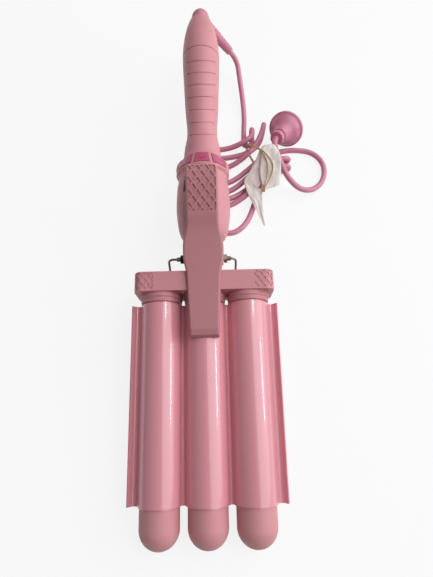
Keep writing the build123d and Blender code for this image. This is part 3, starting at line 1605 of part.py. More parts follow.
# Elastic band round the drawn-in hank, in two halves that meet in the middle of straight runs
band_join_top = Vector(58.0, 105.0, 30.4)
band_join_low = Vector(57.8, 102.0, 0.65)
band_halves = [
    [
        band_join_top,
        Vector(62.0, 98.5, 34.4),
        Vector(67.6, 90.0, 31.0),
        Vector(68.4, 79.0, 24.6),
        Vector(62.6, 62.8, 19.6),
        Vector(62.4, 59.6, 16.2),
        Vector(63.4, 71.0, 6.0),
        Vector(63.6, 75.0, 0.65),
        band_join_low,
    ],
    [
        band_join_low,
        Vector(49.4, 125.6, 0.65),
        Vector(47.2, 126.4, 14.0),
        band_join_top,
    ],
]
with BuildPart() as hank_band:
    for half in band_halves:
        band_bends = [r if r > 12.0 else band_bend_r for r in bend_radii(half)]
        with BuildLine() as half_line:
            FilletPolyline(*half, radius=band_bends)
        band_path = half_line.wires()[0]
        with BuildSketch(Plane(band_path @ 0, z_dir=band_path % 0)):
            Circle(band_r)
        sweep(path=band_path)
hank_band.part.label = "hank_band"
export_step(hank_band.part, "parts/hank_band.step")

# Paper tag that leans from the cord at the plug down on to the hank, its top corner cut away
# where the band comes over it
tag_line = ((104.0, 34.1), (97.0, 31.7), (88.0, 27.3), (80.0, 22.3), (70.0, 18.3), (61.0, 15.9))
with BuildPart() as cord_tag:
    with BuildSketch(Plane((tag_left, 0, 0), x_dir=(0, 1, 0), z_dir=(1, 0, 0))):
        with BuildLine():
            Spline(*tag_line)
            Spline(*[(y, z + tag_thickness) for y, z in tag_line])
            Line(tag_line[0], (tag_line[0][0], tag_line[0][1] + tag_thickness))
            Line(tag_line[-1], (tag_line[-1][0], tag_line[-1][1] + tag_thickness))
        make_face()
    extrude(amount=tag_width)
    with BuildSketch(Plane.XY.offset(tag_line[2][1] - tag_taper)):
        Polygon(
            (tag_left - tag_thickness, tag_line[0][0] - tag_taper_length),
            (tag_left + tag_taper, tag_line[0][0] + tag_thickness),
            (tag_left - tag_thickness, tag_line[0][0] + tag_thickness),
            align=None,
        )
    extrude(amount=2 * tag_taper, mode=Mode.SUBTRACT)
cord_tag.part.label = "cord_tag"
export_step(cord_tag.part, "parts/cord_tag.step")

# Gaps of the hank to itself, measured on points of its line
hank_points = [hank_wire @ (i / 900) for i in range(901)]
skip = int(900 * 3.2 * cord_r / hank_length) + 1
least_gap = 1000.0
least_at = (0, 0)
for i in range(901):
    for j in range(i + skip, 901):
        gap = (hank_points[i] - hank_points[j]).length - 2 * cord_r
        if gap < least_gap:
            least_gap = gap
            least_at = (i, j)
print("least gap of the hank to itself", round(least_gap, 2))
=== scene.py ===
# %% [markdown]
# # A three-barrel hair waver
# The tool has three parallel heated barrels under a fluted clamp plate. A long lever with a
# quilted pad opens the plate, a wire stand holds the head up, and a tied hank of cord lies beside
# the handle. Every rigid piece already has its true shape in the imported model, so this script loads
# that model as a fixed frame. It spends its effort on finishes and on what is soft: the cord, the
# elastic and the tag.

import bpy
import bmesh
from math import cos, pi, radians, sin
from mathutils import Matrix, Vector


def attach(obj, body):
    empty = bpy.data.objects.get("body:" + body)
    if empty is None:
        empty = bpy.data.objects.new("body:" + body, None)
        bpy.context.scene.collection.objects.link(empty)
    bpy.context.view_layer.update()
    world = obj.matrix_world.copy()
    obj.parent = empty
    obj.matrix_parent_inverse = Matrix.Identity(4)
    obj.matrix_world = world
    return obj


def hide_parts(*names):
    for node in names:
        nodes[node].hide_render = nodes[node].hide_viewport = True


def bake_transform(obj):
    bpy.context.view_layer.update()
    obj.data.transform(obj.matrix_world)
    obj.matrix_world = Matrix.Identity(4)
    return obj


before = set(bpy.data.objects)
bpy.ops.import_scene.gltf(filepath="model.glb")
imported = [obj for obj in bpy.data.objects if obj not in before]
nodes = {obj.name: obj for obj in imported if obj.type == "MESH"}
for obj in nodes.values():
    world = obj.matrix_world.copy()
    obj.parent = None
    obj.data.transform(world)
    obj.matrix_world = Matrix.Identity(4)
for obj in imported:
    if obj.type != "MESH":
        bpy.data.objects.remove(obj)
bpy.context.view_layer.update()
MM = 0.001


# %% [markdown]
# ## Writing a material as a sentence
# A procedural finish is a small graph of nodes. Wiring each Math node by hand hides the idea, so a
# wrapped socket lets Python's own operators add them, and one method adds every other node.
# Colours and vectors stay out of it, because a Math node would turn a colour grey.


# %% A value that does arithmetic
class Value:
    """One number output of a node. Arithmetic on it adds Math nodes."""

    def __init__(self, finish, socket):
        self.finish = finish
        self.socket = socket

    def join(self, operation, *terms):
        """A Math node on any terms, in the order given."""
        node = self.finish.add("ShaderNodeMath", dict(enumerate(terms)), operation=operation)
        return Value(self.finish, node.outputs[0])

    def maths(self, operation, *others):
        """A Math node on this number and then any others."""
        return self.join(operation, self, *others)

    def __add__(self, other):
        return self.maths("ADD", other)

    def __sub__(self, other):
        return self.maths("SUBTRACT", other)

    def __mul__(self, other):
        return self.maths("MULTIPLY", other)

    def __rsub__(self, other):
        return self.join("SUBTRACT", other, self)

    __radd__ = __add__
    __rmul__ = __mul__

    def above(self, level, softness):
        """0 below the level and 1 above it, over a soft edge."""
        scaled = (self - (level - softness / 2)) * (1.0 / softness)
        return scaled.maths("MAXIMUM", 0.0).maths("MINIMUM", 1.0)


# %% [markdown]
# ## A finish: one Principled surface and what varies over it
# No real surface has one colour and one gloss all over. A picture could bring the variation, but
# noise of a chosen size needs no picture and no unwrapping, so every finish here is noise on a few
# sockets. Colours are written as they look on a screen, from 0 to 255, and are turned into the
# linear light that the shader works in. Sizes of grains are written in millimetres, and the part is
# in metres.


# %% The finish class
def paint(red, green, blue):
    """Screen colour to linear colour."""
    linear = []
    for channel in (red / 255, green / 255, blue / 255):
        dark = channel < 0.04045
        linear.append(channel / 12.92 if dark else ((channel + 0.055) / 1.055) ** 2.4)
    return (*linear, 1.0)


class Finish:
    """A material with one Principled surface, built by short calls."""

    def __init__(self, name, colour, **fixed):
        self.material = bpy.data.materials.new(name)
        self.material.use_nodes = True
        self.tree = self.material.node_tree
        self.tree.nodes.clear()
        self.shader = self.add("ShaderNodeBsdfPrincipled", {"Base Color": colour})
        for socket, value in fixed.items():
            self.shader.inputs[socket.replace("_", " ")].default_value = value
        self.add("ShaderNodeOutputMaterial", {"Surface": self.shader.outputs["BSDF"]})
        self.place = self.add("ShaderNodeTexCoord", {}).outputs["Object"]

    def add(self, kind, inputs, **settings):
        """Any node: its settings first, then the values or links of its sockets."""
        node = self.tree.nodes.new(kind)
        for key, value in settings.items():
            setattr(node, key, value)
        for key, value in inputs.items():
            socket = node.inputs[key]
            if isinstance(value, Value):
                value = value.socket
            if isinstance(value, bpy.types.NodeSocket):
                self.tree.links.new(value, socket)
            else:
                socket.default_value = value
        return node

    def link(self, output, socket):
        """Feeds one of the surface's own sockets."""
        self.tree.links.new(output, self.shader.inputs[socket])

    def stretched(self, scale):
        """Object coordinates, scaled along each axis: below 1 makes grains longer."""
        return self.add("ShaderNodeMapping", {"Vector": self.place, "Scale": scale}).outputs[0]

    def noise(self, size, detail=2.0, where=None):
        """Clouds whose grains are about this many millimetres across."""
        vector = self.place if where is None else where
        inputs = {"Vector": vector, "Scale": 1.0 / (size * MM), "Detail": detail}
        return Value(self, self.add("ShaderNodeTexNoise", inputs).outputs[0])

    def parts(self, vector):
        """The three numbers of a vector."""
        split = self.add("ShaderNodeSeparateXYZ", {0: vector})
        return [Value(self, output) for output in split.outputs]

    def tint(self, mask, low, high):
        """One colour turns into another as the mask goes from 0 to 1."""
        mixed = self.add("ShaderNodeMix", {0: mask, 6: low, 7: high}, data_type="RGBA")
        self.link(mixed.outputs[2], "Base Color")

    def over(self, mask, colour):
        """Lays a colour over the present one where the mask is 1."""
        self.tint(mask, self.shader.inputs["Base Color"].links[0].from_socket, colour)

    def rough(self, mask, middle, spread):
        """The roughness varies with the mask, by this spread about its middle."""
        value = mask * spread + (middle - spread / 2)
        self.link(value.socket, "Roughness")

    def bump(self, height, depth):
        """Raises the surface by up to this many millimetres, on top of any earlier bump."""
        inputs = {"Height": height, "Distance": depth * MM, "Strength": 1.0}
        earlier = self.shader.inputs["Normal"].links
        if earlier:
            inputs["Normal"] = earlier[0].from_socket
        self.link(self.add("ShaderNodeBump", inputs).outputs[0], "Normal")


def shade(colour, factor):
    """A darker or lighter copy of a colour."""
    return tuple(min(1.0, c * factor) for c in colour[:3]) + (1.0,)


# %% [markdown]
# ## Moulded and painted pinks
# The shells and the head are soft-touch painted plastic: a fine stipple breaks up every highlight,
# and handling leaves slightly shinier patches. A dark line marks the seam where the end cap meets
# the shells. The lever has the same paint, with painted light on it: it is lighter at its pad and
# darker towards the head, as the light falls. The barrels and the clamp plate are aluminium under a
# glossy ceramic glaze, which keeps long bright reflections but has a faint orange-peel. The tips
# are plain moulded plastic, fine and matte.
# The grain could be modelled, but it is finer than a pixel from here, so a bump is enough.


# %% Pink finishes
def soft_touch(name, colour, roughness):
    """Painted plastic with a fine stipple and handled patches."""
    finish = Finish(name, colour)
    patches = finish.noise(24.0, 3.0)
    stain = finish.noise(70.0, 2.0)
    finish.tint(stain.above(0.5, 0.5), shade(colour, 0.93), shade(colour, 1.04))
    finish.rough(patches, roughness, 0.16)
    finish.bump(finish.noise(0.55, 2.0), 0.018)
    return finish


def glazed(name, colour):
    """Ceramic glaze on aluminium: glossy, with a faint orange-peel."""
    finish = Finish(name, colour, Coat_Weight=1.0, Coat_Roughness=0.06, IOR=1.5)
    smears = finish.noise(30.0, 4.0, finish.stretched((1.0, 0.35, 1.0)))
    finish.tint(finish.noise(90.0, 1.0), shade(colour, 0.97), shade(colour, 1.03))
    finish.rough(smears, 0.33, 0.14)
    finish.bump(finish.noise(2.4, 1.0), 0.004)
    return finish


def matte_moulded(name, colour, roughness, grain=0.35, depth=0.02):
    """Plain moulded plastic with a spark-eroded matte texture."""
    finish = Finish(name, colour)
    finish.tint(finish.noise(40.0, 3.0), shade(colour, 0.94), shade(colour, 1.05))
    finish.rough(finish.noise(12.0, 3.0), roughness, 0.12)
    finish.bump(finish.noise(grain, 2.0), depth)
    return finish


# %% Shells, with the end cap's seam
shell_paint = soft_touch("shell_soft_touch", paint(214, 146, 154), 0.46)
tool_axis_y, tool_axis_z = 0.994386, 0.105816
seam_along_axis = 200.8 * MM
seam_half_width = 0.7 * MM
_, shell_run, shell_up = shell_paint.parts(shell_paint.place)
from_seam = shell_run * tool_axis_y + shell_up * tool_axis_z - seam_along_axis
seam = (1.0 - from_seam.maths("ABSOLUTE") * (1.0 / seam_half_width)).maths("MAXIMUM", 0.0)
shell_paint.over(seam, paint(120, 66, 76))
shell_paint.bump(1.0 - seam, 0.3)
print("seam is", round(2 * seam_half_width / MM, 1), "mm wide")

# %% The other pink pieces
head_paint = soft_touch("head_soft_touch", paint(210, 142, 150), 0.48)
# The lever is painted darker towards the head and lighter at its pad: painted shade and a painted
# highlight, where the light falls.
lever_pink_shaded = paint(186, 124, 130)
pad_light_start, pad_light_fade = 45 * MM, 50 * MM
lever_paint = soft_touch("lever_soft_touch", lever_pink_shaded, 0.5)
_, lever_run, _ = lever_paint.parts(lever_paint.place)
lever_paint.tint(lever_run.above(pad_light_start, pad_light_fade), lever_pink_shaded, paint(220, 152, 156))
glaze = glazed("ceramic_glaze", paint(228, 152, 164))
tip_plastic = matte_moulded("cool_tip_plastic", paint(214, 148, 153), 0.55)
collar_plastic = matte_moulded("collar_plastic", paint(200, 132, 140), 0.5)
bezel_plastic = matte_moulded("bezel_plastic", paint(216, 146, 154), 0.42)
chassis_plastic = matte_moulded("chassis_plastic", paint(188, 122, 130), 0.55)
print("materials so far", len(bpy.data.materials))

# %% [markdown]
# ## Buttons and window
# The buttons are a stronger magenta, moulded in colour with a satin face. The window over the
# display is smoked plastic, so it is smooth, dark and glossy. It could be see-through, but the
# display behind it is off, so a dark gloss looks the same and needs no glass.

# %% Button and window finishes
button_plastic = Finish("button_magenta", paint(188, 78, 118), Coat_Weight=0.15)
button_plastic.tint(button_plastic.noise(6.0, 3.0), paint(184, 78, 114), paint(200, 90, 126))
button_plastic.rough(button_plastic.noise(3.0, 3.0), 0.45, 0.14)
button_plastic.bump(button_plastic.noise(0.4, 2.0), 0.008)
smoked = Finish("smoked_window", paint(92, 48, 60), Coat_Weight=0.6, Coat_Roughness=0.05)
smoked.rough(smoked.noise(5.0, 4.0), 0.13, 0.1)
smoked.tint(smoked.noise(9.0, 2.0), paint(92, 28, 46), paint(112, 40, 60))
print("made", button_plastic.material.name, "and", smoked.material.name)

# %% [markdown]
# ## Metals
# The stand is plated wire, the pin, screws and spring are plain steel, the left nut is blackened
# and the right one is brass. Drawing and turning leave fine lines. Anisotropic shading could show
# them, but stretched noise shows the lines themselves, in gloss and in bump.


# %% Metal finishes
def metal(name, colour, roughness, lines=(0.12, 1.0, 1.0)):
    """Bare or plated metal with fine drawn lines."""
    finish = Finish(name, colour, Metallic=1.0)
    drawn = finish.noise(0.5, 3.0, finish.stretched(lines))
    finish.rough(drawn, roughness, 0.2)
    finish.tint(finish.noise(8.0, 3.0), shade(colour, 0.9), shade(colour, 1.05))
    finish.bump(drawn, 0.004)
    return finish


stand_plate = metal("stand_chrome", paint(150, 144, 138), 0.3, (1.0, 1.0, 0.1))
pin_steel = metal("pin_steel", paint(150, 150, 154), 0.34)
screw_steel = metal("screw_steel", paint(168, 168, 172), 0.36)
spring_steel = metal("spring_steel", paint(140, 140, 146), 0.32)
nut_black = metal("nut_blackened", paint(58, 54, 58), 0.42)
nut_brass = metal("nut_brass", paint(176, 160, 134), 0.34)
fuse_can = metal("fuse_can", paint(176, 172, 160), 0.38)
spreader = metal("spreader_extruded", paint(190, 192, 196), 0.4, (1.0, 0.08, 1.0))
pin_plate = metal("plug_pin_nickel", paint(182, 178, 170), 0.26)
print("materials so far", len(bpy.data.materials))

# %% [markdown]
# ## Cord, plug and rubber
# The cord's sheath, the strain relief and the plug are one soft plastic, a cooler mauve pink with
# a broad sheen. Subsurface light could soften it, but flow marks in colour, gloss and bump do more
# at this size. The stand's feet are dark rubber, and the leads inside have plain matte sleeves.


# %% Sheath finishes
def sheath(name, colour, roughness=0.4):
    """Soft plastic of a cord or a plug."""
    finish = Finish(name, colour, Coat_Weight=0.12, Coat_Roughness=0.3)
    finish.tint(finish.noise(14.0, 4.0), shade(colour, 0.92), shade(colour, 1.06))
    finish.rough(finish.noise(5.0, 4.0), roughness, 0.2)
    finish.bump(finish.noise(1.6, 3.0), 0.012)
    return finish


cord_sheath = sheath("cord_sheath", paint(208, 134, 158))
plug_plastic = sheath("plug_plastic", paint(208, 130, 158), 0.42)
swivel_plastic = sheath("swivel_plastic", paint(210, 136, 158), 0.42)
foot_rubber = matte_moulded("foot_rubber", paint(62, 58, 60), 0.7, 0.5, 0.03)
lead_sleeve = matte_moulded("lead_sleeve", paint(206, 200, 186), 0.5, 0.6, 0.01)
print("materials so far", len(bpy.data.materials))

# %% [markdown]
# ## Pieces inside the shells
# They are out of sight until the part is opened, but each still has its own finish: green solder
# mask with copper runs under it, dark moulded components, amber film round the heaters. The runs
# are a sine wave across the board, broken up by noise, which is enough for a board seen in passing.


# %% Circuit board
track_pitch = 1.6


def solder_mask(name):
    """Circuit board: copper runs show as lighter lines under green."""
    finish = Finish(name, paint(34, 92, 56), Roughness=0.38)
    across, _, _ = finish.parts(finish.place)
    runs = (across * (2 * pi / (track_pitch * MM))).maths("SINE")
    broken = finish.noise(5.0, 1.0, finish.stretched((1.0, 0.4, 1.0))).above(0.5, 0.05)
    copper = runs.above(0.55, 0.3) * broken
    finish.tint(copper, paint(30, 84, 52), paint(70, 128, 78))
    finish.bump(copper, 0.02)
    return finish


# %% Finishes inside
board = solder_mask("board_green")
component = matte_moulded("component_black", paint(46, 46, 50), 0.5)
switch_body = matte_moulded("switch_black", paint(40, 40, 42), 0.45)
carrier_plastic = matte_moulded("carrier_plastic", paint(70, 64, 62), 0.6)
clip_plastic = matte_moulded("clip_plastic", paint(222, 218, 208), 0.5)
amber_film = Finish("heater_film", paint(178, 112, 38), Roughness=0.25, Coat_Weight=0.3)
film_streaks = amber_film.noise(7.0, 4.0, amber_film.stretched((1.0, 0.3, 1.0)))
film_wraps = amber_film.noise(3.0, 3.0, amber_film.stretched((1.0, 0.25, 1.0)))
amber_film.tint(film_streaks, paint(160, 96, 30), paint(196, 128, 48))
amber_film.bump(film_wraps, 0.06)
print("materials so far", len(bpy.data.materials))

# %% [markdown]
# ## Giving each node its finish
# A node of the frame keeps its mesh, and only what fills its material slots changes. The finishes
# could be given one by one, but a table of names shows at a glance what each piece is made of.

# %% Finishes by node
finish_of = {
    "barrel_carrier": carrier_plastic,
    "button_bezel": bezel_plastic,
    "button_board": board,
    "cap_screw": screw_steel,
    "chassis": chassis_plastic,
    "clamp_plate": glaze,
    "clamp_spring": spring_steel,
    "display_board": board,
    "display_lens": smoked,
    "end_cap": shell_paint,
    "handle_bottom_shell": shell_paint,
    "handle_screws": screw_steel,
    "handle_top_shell": shell_paint,
    "head_front_plate": head_paint,
    "head_housing": head_paint,
    "head_screws": screw_steel,
    "heater_leads": lead_sleeve,
    "hinge_nut_left": nut_black,
    "hinge_nut_right": nut_brass,
    "hinge_pin": pin_steel,
    "hinge_spacers": screw_steel,
    "lever": lever_paint,
    "lever_screws": screw_steel,
    "mains_leads": lead_sleeve,
    "main_pcb": board,
    "pcb_components": component,
    "plug_body": plug_plastic,
    "plug_pins": pin_plate,
    "stand_feet": foot_rubber,
    "strain_relief": swivel_plastic,
    "swivel_ball": swivel_plastic,
    "swivel_clip": clip_plastic,
    "tact_switches": switch_body,
    "thermal_fuse": fuse_can,
    "wire_stand": stand_plate,
}
for side in ("left", "middle", "right"):
    finish_of["barrel_" + side] = glaze
    finish_of["button_" + side] = button_plastic
    finish_of["cool_tip_" + side] = tip_plastic
    finish_of["heat_collar_" + side] = collar_plastic
    finish_of["heat_spreader_" + side] = spreader
    finish_of["ptc_heater_" + side] = amber_film
print("nodes with a finish", len(finish_of))


# %% Filling the slots
def dress(piece, finish):
    """Fills every material slot of a piece with one finish."""
    if not piece.material_slots:
        piece.data.materials.append(finish.material)
    for slot in piece.material_slots:
        slot.material = finish.material


for name, finish in finish_of.items():
    dress(nodes[name], finish)
print("dressed", len(finish_of), "of", len(nodes), "nodes; the rest are replaced below")

# %% [markdown]
# ## The mains cord
# A cord is one tube of even thickness that bends smoothly. Its line is a NURBS curve of order 3,
# which stays inside the corners of its control points and has no kinks. The points are the route's
# own: out of the strain relief, down to the table, through the loops of the hank, round the big
# loop to the plug. A simulation could drop a cord there, but it wouldn't tie the hank of the
# photograph. The first stretch has to follow the swivel when that turns; here the whole tube is
# made one mesh, which stays where it lies.

# %% Route of the cord, in millimetres
relief_tip = (32.52, 243.88, 31.34)
run_points = [
    relief_tip,
    (41.04, 242.42, 21.63),
    (43.4, 219.0, 15.0),
    (46.4, 196.0, 6.5),
    (47.4, 172.0, 2.9),
    (45.6, 150.0, 2.9),
]
hank_points = [
    (45.0, 136.0, 3.6), (45.4, 131.0, 4.2), (53.8, 131.0, 4.4), (54.2, 137.0, 4.4),
    (54.2, 148.4, 4.3), (54.2, 148.4, 12.5), (54.2, 138.0, 12.4), (46.0, 130.6, 12.0),
    (30.0, 127.3, 5.0), (10.6, 126.8, 2.9), (10.6, 115.2, 2.9), (30.0, 116.2, 2.9),
    (50.0, 121.0, 4.4), (61.0, 131.5, 4.4), (66.2, 146.0, 3.8), (67.9, 155.2, 3.4),
    (68.1, 155.2, 12.4), (66.6, 147.5, 12.0), (61.5, 133.0, 12.0), (50.5, 116.0, 11.0),
    (30.0, 103.2, 4.0), (12.0, 100.5, 2.9), (-6.0, 80.0, 2.9), (-1.0, 45.0, 2.9),
    (14.0, 23.5, 2.9), (30.0, 20.6, 2.9), (44.0, 33.0, 2.9), (52.2, 53.6, 2.9), (57.0, 72.0, 4.0),
    (67.0, 86.0, 4.4), (80.0, 95.6, 3.8), (91.6, 97.7, 3.2), (91.6, 97.5, 11.6),
    (77.0, 95.2, 11.2), (62.0, 86.0, 11.0), (51.0, 68.5, 10.4), (30.0, 54.6, 3.4),
    (10.4, 51.9, 2.9), (10.4, 61.2, 2.9), (30.0, 62.8, 2.9), (51.0, 77.5, 3.8),
    (62.0, 92.0, 4.4), (76.0, 104.0, 3.8), (92.0, 108.2, 3.2), (92.0, 108.0, 11.6),
    (76.0, 105.4, 11.2), (62.0, 98.0, 11.0), (48.0, 87.0, 8.0),
    (30.0, 72.4, 3.2), (10.6, 69.0, 2.9), (10.6, 80.8, 2.9), (30.0, 83.4, 2.9),
    (50.0, 100.5, 4.2), (63.0, 113.2, 4.4), (72.0, 119.4, 4.2),
]
tail_points = [
    (79.3, 121.6, 2.9),
    (98.0, 125.2, 2.9),
    (120.0, 121.8, 2.9),
    (131.6, 106.5, 2.9),
    (130.2, 86.0, 3.2),
    (118.0, 70.5, 5.0),
    (101.5, 67.0, 10.0),
    (88.0, 77.0, 17.5),
    (80.5, 91.0, 25.0),
    (72.56, 111.21, 33.63),
    (77.32, 119.01, 29.56),
]
cord_diameter = 5.8
route = run_points + hank_points + tail_points
print("corners on the route", len(route))


# %% A tube along a smooth line
def smooth_line(name, points, radius, steps=8, closed=False):
    """A NURBS curve of order 3 whose corners are given in millimetres."""
    curve = bpy.data.curves.new(name, "CURVE")
    curve.dimensions = "3D"
    spline = curve.splines.new("NURBS")
    spline.points.add(len(points) - 1)
    for spot, point in zip(spline.points, points):
        spot.co = (*[c * MM for c in point], 1.0)
    spline.order_u = 3
    spline.use_endpoint_u = not closed
    spline.use_cyclic_u = closed
    spline.resolution_u = steps
    curve.bevel_depth = radius * MM
    curve.bevel_resolution = 5
    curve.use_fill_caps = not closed
    return curve


def read_mesh(curve, name):
    """The mesh that a curve makes, as a new object at the origin."""
    holder = bpy.data.objects.new(name + "_line", curve)
    bpy.context.scene.collection.objects.link(holder)
    bpy.context.view_layer.update()
    evaluated = holder.evaluated_get(bpy.context.evaluated_depsgraph_get())
    made = bpy.data.meshes.new_from_object(evaluated)
    bpy.data.objects.remove(holder)
    made.name = name
    piece = bpy.data.objects.new(name, made)
    bpy.context.scene.collection.objects.link(piece)
    made.polygons.foreach_set("use_smooth", [True] * len(made.polygons))
    return piece


def line_points(curve, name):
    """Points of the curve's own line, in order, without its thickness."""
    bare = curve.copy()
    bare.bevel_depth = 0.0
    piece = read_mesh(bare, name)
    points = [vertex.co.copy() for vertex in piece.data.vertices]
    bpy.data.objects.remove(piece)
    return points


# %% The cord
cord_curve = smooth_line("mains_cord", route, cord_diameter / 2)
cord_path = line_points(cord_curve, "mains_cord_line")
mains_cord = read_mesh(cord_curve, "mains_cord")
dress(mains_cord, cord_sheath)
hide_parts("cord_run", "cord_hank", "cord_tail")
cord_length = sum((b - a).length for a, b in zip(cord_path, cord_path[1:]))
print("cord", round(cord_length, 3), "m, faces", len(mains_cord.data.polygons))
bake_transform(mains_cord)

# %% [markdown]
# ## The elastic tie
# A thin golden elastic goes round the waist of the hank twice and holds the tag down. It is two
# strands, close together below and parted over the tag, and each is a closed smooth line. One line
# that goes round twice would have to cross itself, which two closed ones needn't. The cover is
# braided, so its ridges run round it on a slant. They are a wave on the strand's own UV map, so
# that the braid follows every bend.

# %% Corners of the strands, in millimetres
elastic_under = [
    (61.9, 62.2, 17.6), (62.4, 63.2, 14.6), (63.2, 68.0, 9.0), (63.4, 71.5, 2.6),
    (63.6, 75.0, 0.62), (60.0, 95.0, 0.62), (54.0, 114.0, 0.62), (49.6, 123.4, 0.62),
    (47.9, 125.7, 2.6), (47.5, 125.8, 9.5), (47.8, 124.4, 14.4), (50.9, 118.3, 20.0),
    (54.9, 110.4, 27.0),
]
elastic_over = {
    "outer": [
        (59.6, 101.1, 34.9), (66.6, 95.0, 32.5), (70.3, 90.3, 30.2), (71.8, 85.6, 27.6),
        (71.3, 81.2, 25.2), (69.9, 77.3, 23.5), (64.9, 68.4, 20.4), (62.4, 64.4, 19.2),
    ],
    "inner": [
        (58.6, 100.4, 34.6), (64.0, 93.2, 31.7), (66.0, 88.3, 29.2), (66.4, 83.7, 26.7),
        (66.1, 79.5, 24.4), (65.1, 75.2, 22.9), (63.3, 69.2, 20.8), (61.4, 64.4, 19.0),
    ],
}
elastic_radius = 0.55
elastic_gap = 1.35
print("corners of a strand", len(elastic_under) + len(elastic_over["outer"]))

# %% Braided cover
braid_pitch = 0.9
elastic_cover = Finish("elastic_gold", paint(190, 150, 84), Roughness=0.45)
along_strand = elastic_cover.add("ShaderNodeUVMap", {}, uv_map="strand").outputs[0]
turn, run, _ = elastic_cover.parts(along_strand)
braid = (run * (2 * pi / braid_pitch) + turn * (2 * pi)).maths("SINE")
# The braid is painted darker in its grooves and lighter on its ridges, in step with its bump: painted
# shade and a painted highlight.
elastic_cover.tint(braid * 0.5 + 0.5, paint(150, 108, 52), paint(222, 186, 120))
elastic_cover.bump(braid * 0.5 + 0.5, 0.12)
print("braid repeats every", braid_pitch, "mm")


# %% Two closed strands
def strand_map(piece, path, around):
    """A UV map on a tube: turns round it in x, millimetres along it in y."""
    layer = piece.data.uv_layers.new(name="strand")
    runs = [0.0]
    for a, b in zip(path, path[1:]):
        runs.append(runs[-1] + (b - a).length / MM)
    for loop in piece.data.loops:
        ring, spot = divmod(loop.vertex_index, around)
        layer.data[loop.index].uv = (spot / around, runs[min(ring, len(runs) - 1)])


for side, over in elastic_over.items():
    aside = elastic_gap / 2 if side == "outer" else -elastic_gap / 2
    under = [(x + aside, y, z) for x, y, z in elastic_under]
    name = f"elastic_strand_{side}"
    loop_curve = smooth_line(name, over + under, elastic_radius, steps=10, closed=True)
    loop_curve.bevel_resolution = 2
    strand = read_mesh(loop_curve, name)
    path = line_points(loop_curve, name + "_line")
    around = len(strand.data.vertices) // len(path)
    strand_map(strand, path, around)
    dress(strand, elastic_cover)
    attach(strand, "tool")
    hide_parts("hank_band")
    print(name, "points", len(path), "round", around)

# %% [markdown]
# ## The paper tag
# The tag is one long strip of creased paper that is folded twice: a broad panel leans on the cord
# at the plug, the strip turns back under it down the hank's left side, and its tail turns again and
# ends in a narrow tip. The real one is printed; this one is left blank. A cloth simulation could
# fold it, but not into the outline of the photograph. So a grid is laid along the strip's two
# edges, then small creases push it in and out, and a Solidify modifier gives it thickness.

# %% Tag strip: left and right edge of each station, in millimetres
tag_stations = [
    ((61.6, 63.6, 16.6), (78.3, 68.8, 18.0)),
    ((57.9, 80.0, 22.6), (80.0, 80.0, 23.4)),
    ((59.0, 92.0, 29.4), (79.9, 91.2, 29.9)),
    ((61.0, 101.5, 33.2), (77.4, 101.0, 33.4)),
    ((65.0, 106.4, 34.6), (72.4, 107.4, 34.8)),
    ((60.0, 104.4, 33.6), (70.0, 101.4, 32.2)),
    ((54.2, 94.0, 26.4), (67.6, 85.4, 25.0)),
    ((47.4, 84.0, 19.8), (60.4, 73.6, 18.5)),
    ((42.2, 77.0, 15.8), (57.0, 67.6, 15.4)),
    ((42.8, 71.0, 14.4), (61.0, 66.0, 14.4)),
    ((46.8, 59.0, 12.2), (60.4, 60.0, 12.8)),
    ((53.0, 46.0, 9.0), (60.6, 45.4, 9.4)),
    ((60.6, 29.6, 4.6), (62.6, 28.4, 4.4)),
]
tag_across = 12
tag_along = 96
paper_thickness = 0.22
print("tag stations", len(tag_stations))


# %% Smooth edges and small creases
def between(points, t):
    """A point on the smooth line through the stations' edge points."""
    span = t * (len(points) - 1)
    low = min(int(span), len(points) - 2)
    f = span - low
    p0 = Vector(points[max(low - 1, 0)])
    p1 = Vector(points[low])
    p2 = Vector(points[low + 1])
    p3 = Vector(points[min(low + 2, len(points) - 1)])
    line = 2 * p1 + (p2 - p0) * f
    arc = (2 * p0 - 5 * p1 + 4 * p2 - p3) * f**2
    turn_back = (3 * p1 - p0 - 3 * p2 + p3) * f**3
    return 0.5 * (line + arc + turn_back)


def crease(u, v):
    """Depth of the folds and dents of handled paper, in millimetres."""
    folds = sin(9.0 * u + 31.0 * v) * 0.28 + sin(17.0 * u - 23.0 * v + 1.0) * 0.2
    dents = sin(41.0 * v + 5.0 * u + 0.6) * 0.16 + sin(67.0 * v - 13.0 * u) * 0.09
    return folds + dents


# %% The creased strip
grid = bmesh.new()
bmesh.ops.create_grid(grid, x_segments=tag_across, y_segments=tag_along, size=0.5)
rest_places = {}
for vertex in grid.verts:
    u = vertex.co.x + 0.5
    v = vertex.co.y + 0.5
    left = between([s[0] for s in tag_stations], v)
    right = between([s[1] for s in tag_stations], v)
    rest_places[vertex] = (u, v, left.lerp(right, u))
for vertex, (u, v, spot) in rest_places.items():
    vertex.co = spot * MM
grid.normal_update()
normals = {vertex: vertex.normal.copy() for vertex in grid.verts}
for vertex, (u, v, spot) in rest_places.items():
    vertex.co = (spot + normals[vertex] * crease(u, v)) * MM
bmesh.ops.recalc_face_normals(grid, faces=grid.faces)
tag_mesh = bpy.data.meshes.new("paper_tag")
grid.to_mesh(tag_mesh)
grid.free()
paper_tag = bpy.data.objects.new("paper_tag", tag_mesh)
bpy.context.scene.collection.objects.link(paper_tag)
tag_mesh.polygons.foreach_set("use_smooth", [True] * len(tag_mesh.polygons))

# %% Paper
thick = paper_tag.modifiers.new("thickness", "SOLIDIFY")
thick.thickness = paper_thickness * MM
thick.offset = 0.0
paper = Finish("tag_paper", paint(238, 234, 228))
paper.tint(paper.noise(6.0, 4.0).above(0.55, 0.4), paint(240, 237, 232), paint(222, 214, 206))
paper.rough(paper.noise(2.0, 3.0), 0.8, 0.1)
paper.bump(paper.noise(0.25, 3.0), 0.03)
dress(paper_tag, paper)
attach(paper_tag, "tool")
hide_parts("cord_tag")
print("tag thickness", paper_thickness, "mm")
